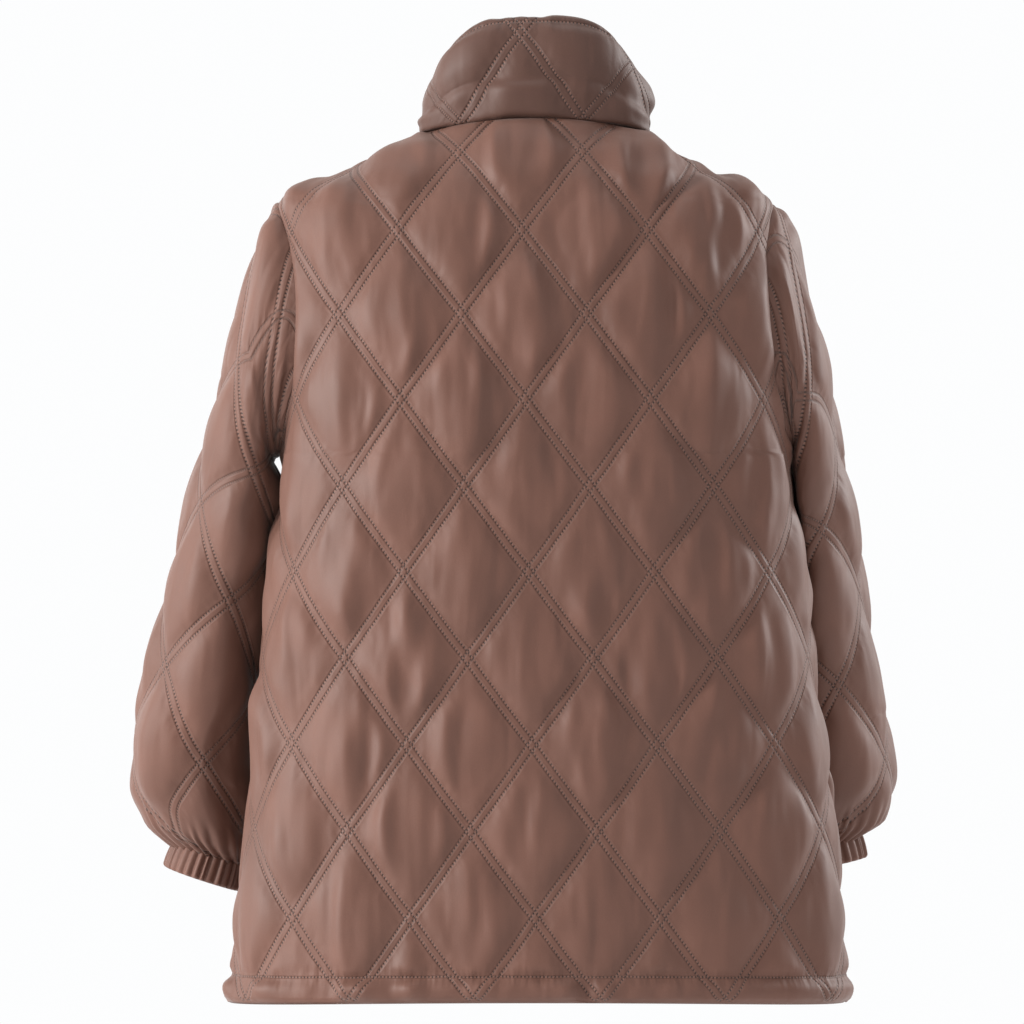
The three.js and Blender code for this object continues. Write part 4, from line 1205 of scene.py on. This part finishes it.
def tape_material():
    """Woven zip tape: ribs along the zip and a fine cross weave."""
    g = Graph("zip_tape_weave")
    split = g.node("ShaderNodeSeparateXYZ")
    g.link(g.place(), split.inputs[0])
    across = g.math("SINE", g.math("MULTIPLY", split.outputs[0], 2 * math.pi / (1.1 * MM)))
    along = g.math("SINE", g.math("MULTIPLY", split.outputs[2], 2 * math.pi / (0.7 * MM)))
    weave = g.math("MULTIPLY", across, along)
    # Painted shade: the tape is lighter where the weave stands up and darker in its hollows, following the
    # bump
    shade = g.mix(g.ramp(weave, -1.0, 1.0), (0.085, 0.048, 0.038, 1), (0.14, 0.083, 0.066, 1))
    g.link(shade, g.shader.inputs["Base Color"])
    g.link(g.bump(g.math("MULTIPLY", weave, 0.12)), g.shader.inputs["Normal"])
    g.shader.inputs["Roughness"].default_value = 0.82
    return g.material


def metal_material(name, light, dark, roughness):
    """Lacquered metal, rubbed a little at random."""
    g = Graph(name)
    place = g.place()
    cloud = g.noise(place, 260.0, 3.0)
    scratch = g.noise(place, 2400.0, 2.0)
    color = g.mix(g.ramp(cloud, 0.35, 0.7), dark, light)
    g.link(color, g.shader.inputs["Base Color"])
    g.link(g.ramp(scratch, 0.3, 0.7, roughness - 0.06, roughness + 0.08), g.shader.inputs["Roughness"])
    g.link(g.bump(g.math("MULTIPLY", scratch, 0.02)), g.shader.inputs["Normal"])
    g.shader.inputs["Metallic"].default_value = 0.85
    return g.material


def stage_material(name, color):
    g = Graph(name)
    place = g.place()
    grain = g.noise(place, 6.0, 2.0)
    near = tuple(c * 0.985 for c in color) + (1,)
    g.link(g.mix(grain, near, tuple(color) + (1,)), g.shader.inputs["Base Color"])
    g.shader.inputs["Roughness"].default_value = 0.9
    return g.material


# The camera comes first, then the pieces
CAMERA_DISTANCE = 6.0
PIXEL = 0.8 * MM  # cloth for each pixel of the photograph
IMAGE_SIZE = 1024
SENSOR = 36.0
CAMERA_PLACE = (0.0192, CAMERA_DISTANCE, -0.2976)


def make_camera():
    data = bpy.data.cameras.new("camera")
    data.sensor_width = SENSOR
    data.lens = SENSOR * CAMERA_DISTANCE / (IMAGE_SIZE * PIXEL)
    data.clip_end = 100
    camera = linked("camera", data)
    camera.location = CAMERA_PLACE
    camera.rotation_euler = (math.pi / 2, 0, math.pi)
    bpy.context.scene.camera = camera


FLOOR = -1.05
STAGE_REACH = 3.0
STAGE_COLOR = (0.84, 0.84, 0.84)


def make_stage():
    """A pale round floor under the jacket, which is held up clear of it, as on a wearer."""
    material = stage_material("pale_stage", STAGE_COLOR)
    work = bmesh.new()
    bmesh.ops.create_circle(work, cap_ends=True, radius=STAGE_REACH, segments=96)
    mesh = bpy.data.meshes.new("floor")
    work.to_mesh(mesh)
    work.free()
    mesh.materials.append(material)
    floor = linked("floor", mesh)
    floor.location = (0, 0, FLOOR)


MIDDLE = (0, 0, -0.33)
LEFT_SLEEVE = (0.25, 0, -0.35)
WARM = (1.0, 0.985, 0.965)
COOL = (0.97, 0.98, 1.0)
WHITE = (1, 1, 1)
WORLD_COLOR = (0.98, 0.985, 0.99, 1)
# Name, place, what it faces, size in metres, power in watts, colour
LIGHTS = (
    ("key", (4.2, 1.9, 0.9), MIDDLE, 0.8, 320, WARM),
    ("side", (4.6, 0.3, 0.2), LEFT_SLEEVE, 0.9, 170, WARM),
    ("fill", (-2.6, 3.2, 0.6), MIDDLE, 2.4, 26, COOL),
    ("front_key", (-3.8, -2.2, 1.1), MIDDLE, 1.3, 190, WHITE),
    ("front_fill", (2.4, -3.0, 0.6), MIDDLE, 2.4, 26, WHITE),
    ("top", (0, 0.2, 2.8), MIDDLE, 1.6, 34, WHITE),
)


def area_light(name, place, target, size, power, color):
    data = bpy.data.lights.new(name, "AREA")
    data.shape = "DISK"
    data.size = size
    data.energy = power
    data.color = color
    light = linked(name, data)
    light.location = place
    light.rotation_euler = (Vector(target) - Vector(place)).to_track_quat("-Z", "Y").to_euler()


def make_light():
    for light in LIGHTS:
        area_light(*light)
    world = bpy.data.worlds.new("studio")
    world.use_nodes = True
    background = world.node_tree.nodes["Background"]
    background.inputs["Color"].default_value = WORLD_COLOR
    background.inputs["Strength"].default_value = 1.0
    bpy.context.scene.world = world


def dress(node, material):
    mesh = nodes[node].data
    mesh.materials.clear()
    mesh.materials.append(material)


def main():
    make_camera()
    make_stage()
    make_light()
    bpy.context.scene.view_settings.view_transform = "Standard"
    plain = cloth_material("shell_inside", quilted=False)
    quilted = cloth_material("quilted_shell", rows=(HEM_DEPTH,))
    sleeve_cloth = cloth_material("sleeve_shell")
    collar_cloth = cloth_material("collar_shell", rows=(COLLAR_CLOTH_TOP - COLLAR_STITCH,), shade_scale=COLLAR_SHADE_SCALE)
    cuff_cloth = cloth_material("cuff_shell", quilted=False)
    tape = tape_material()
    metal = metal_material("zip_metal", METAL_LIGHT, METAL_DARK, METAL_ROUGHNESS)
    body_panel("back", "back", back_edges, np.zeros_like, [quilted, plain], SEEDS["back"])
    for side, sign in SIGN.items():
        centre = lambda z, sign=sign: sign * body.side(z, sign, 2)
        seed = SEEDS["front"] + sign
        body_panel(f"front_{side}", "front", front_edges(sign), centre, [quilted, plain], seed)
        sleeve_piece(side, [sleeve_cloth, plain], SEEDS["sleeve"] + 10 * sign)
        cuff_piece(side, [cuff_cloth, plain], SEEDS["cuff"] + sign)
        dress(f"zip_tape_{side}", tape)
    collar_piece([collar_cloth, plain], SEEDS["collar"])
    zip_teeth(metal)
    zip_cord(tape)
    for node in ("zip_slider", "zip_pull", "zip_box"):
        dress(node, metal)


main()
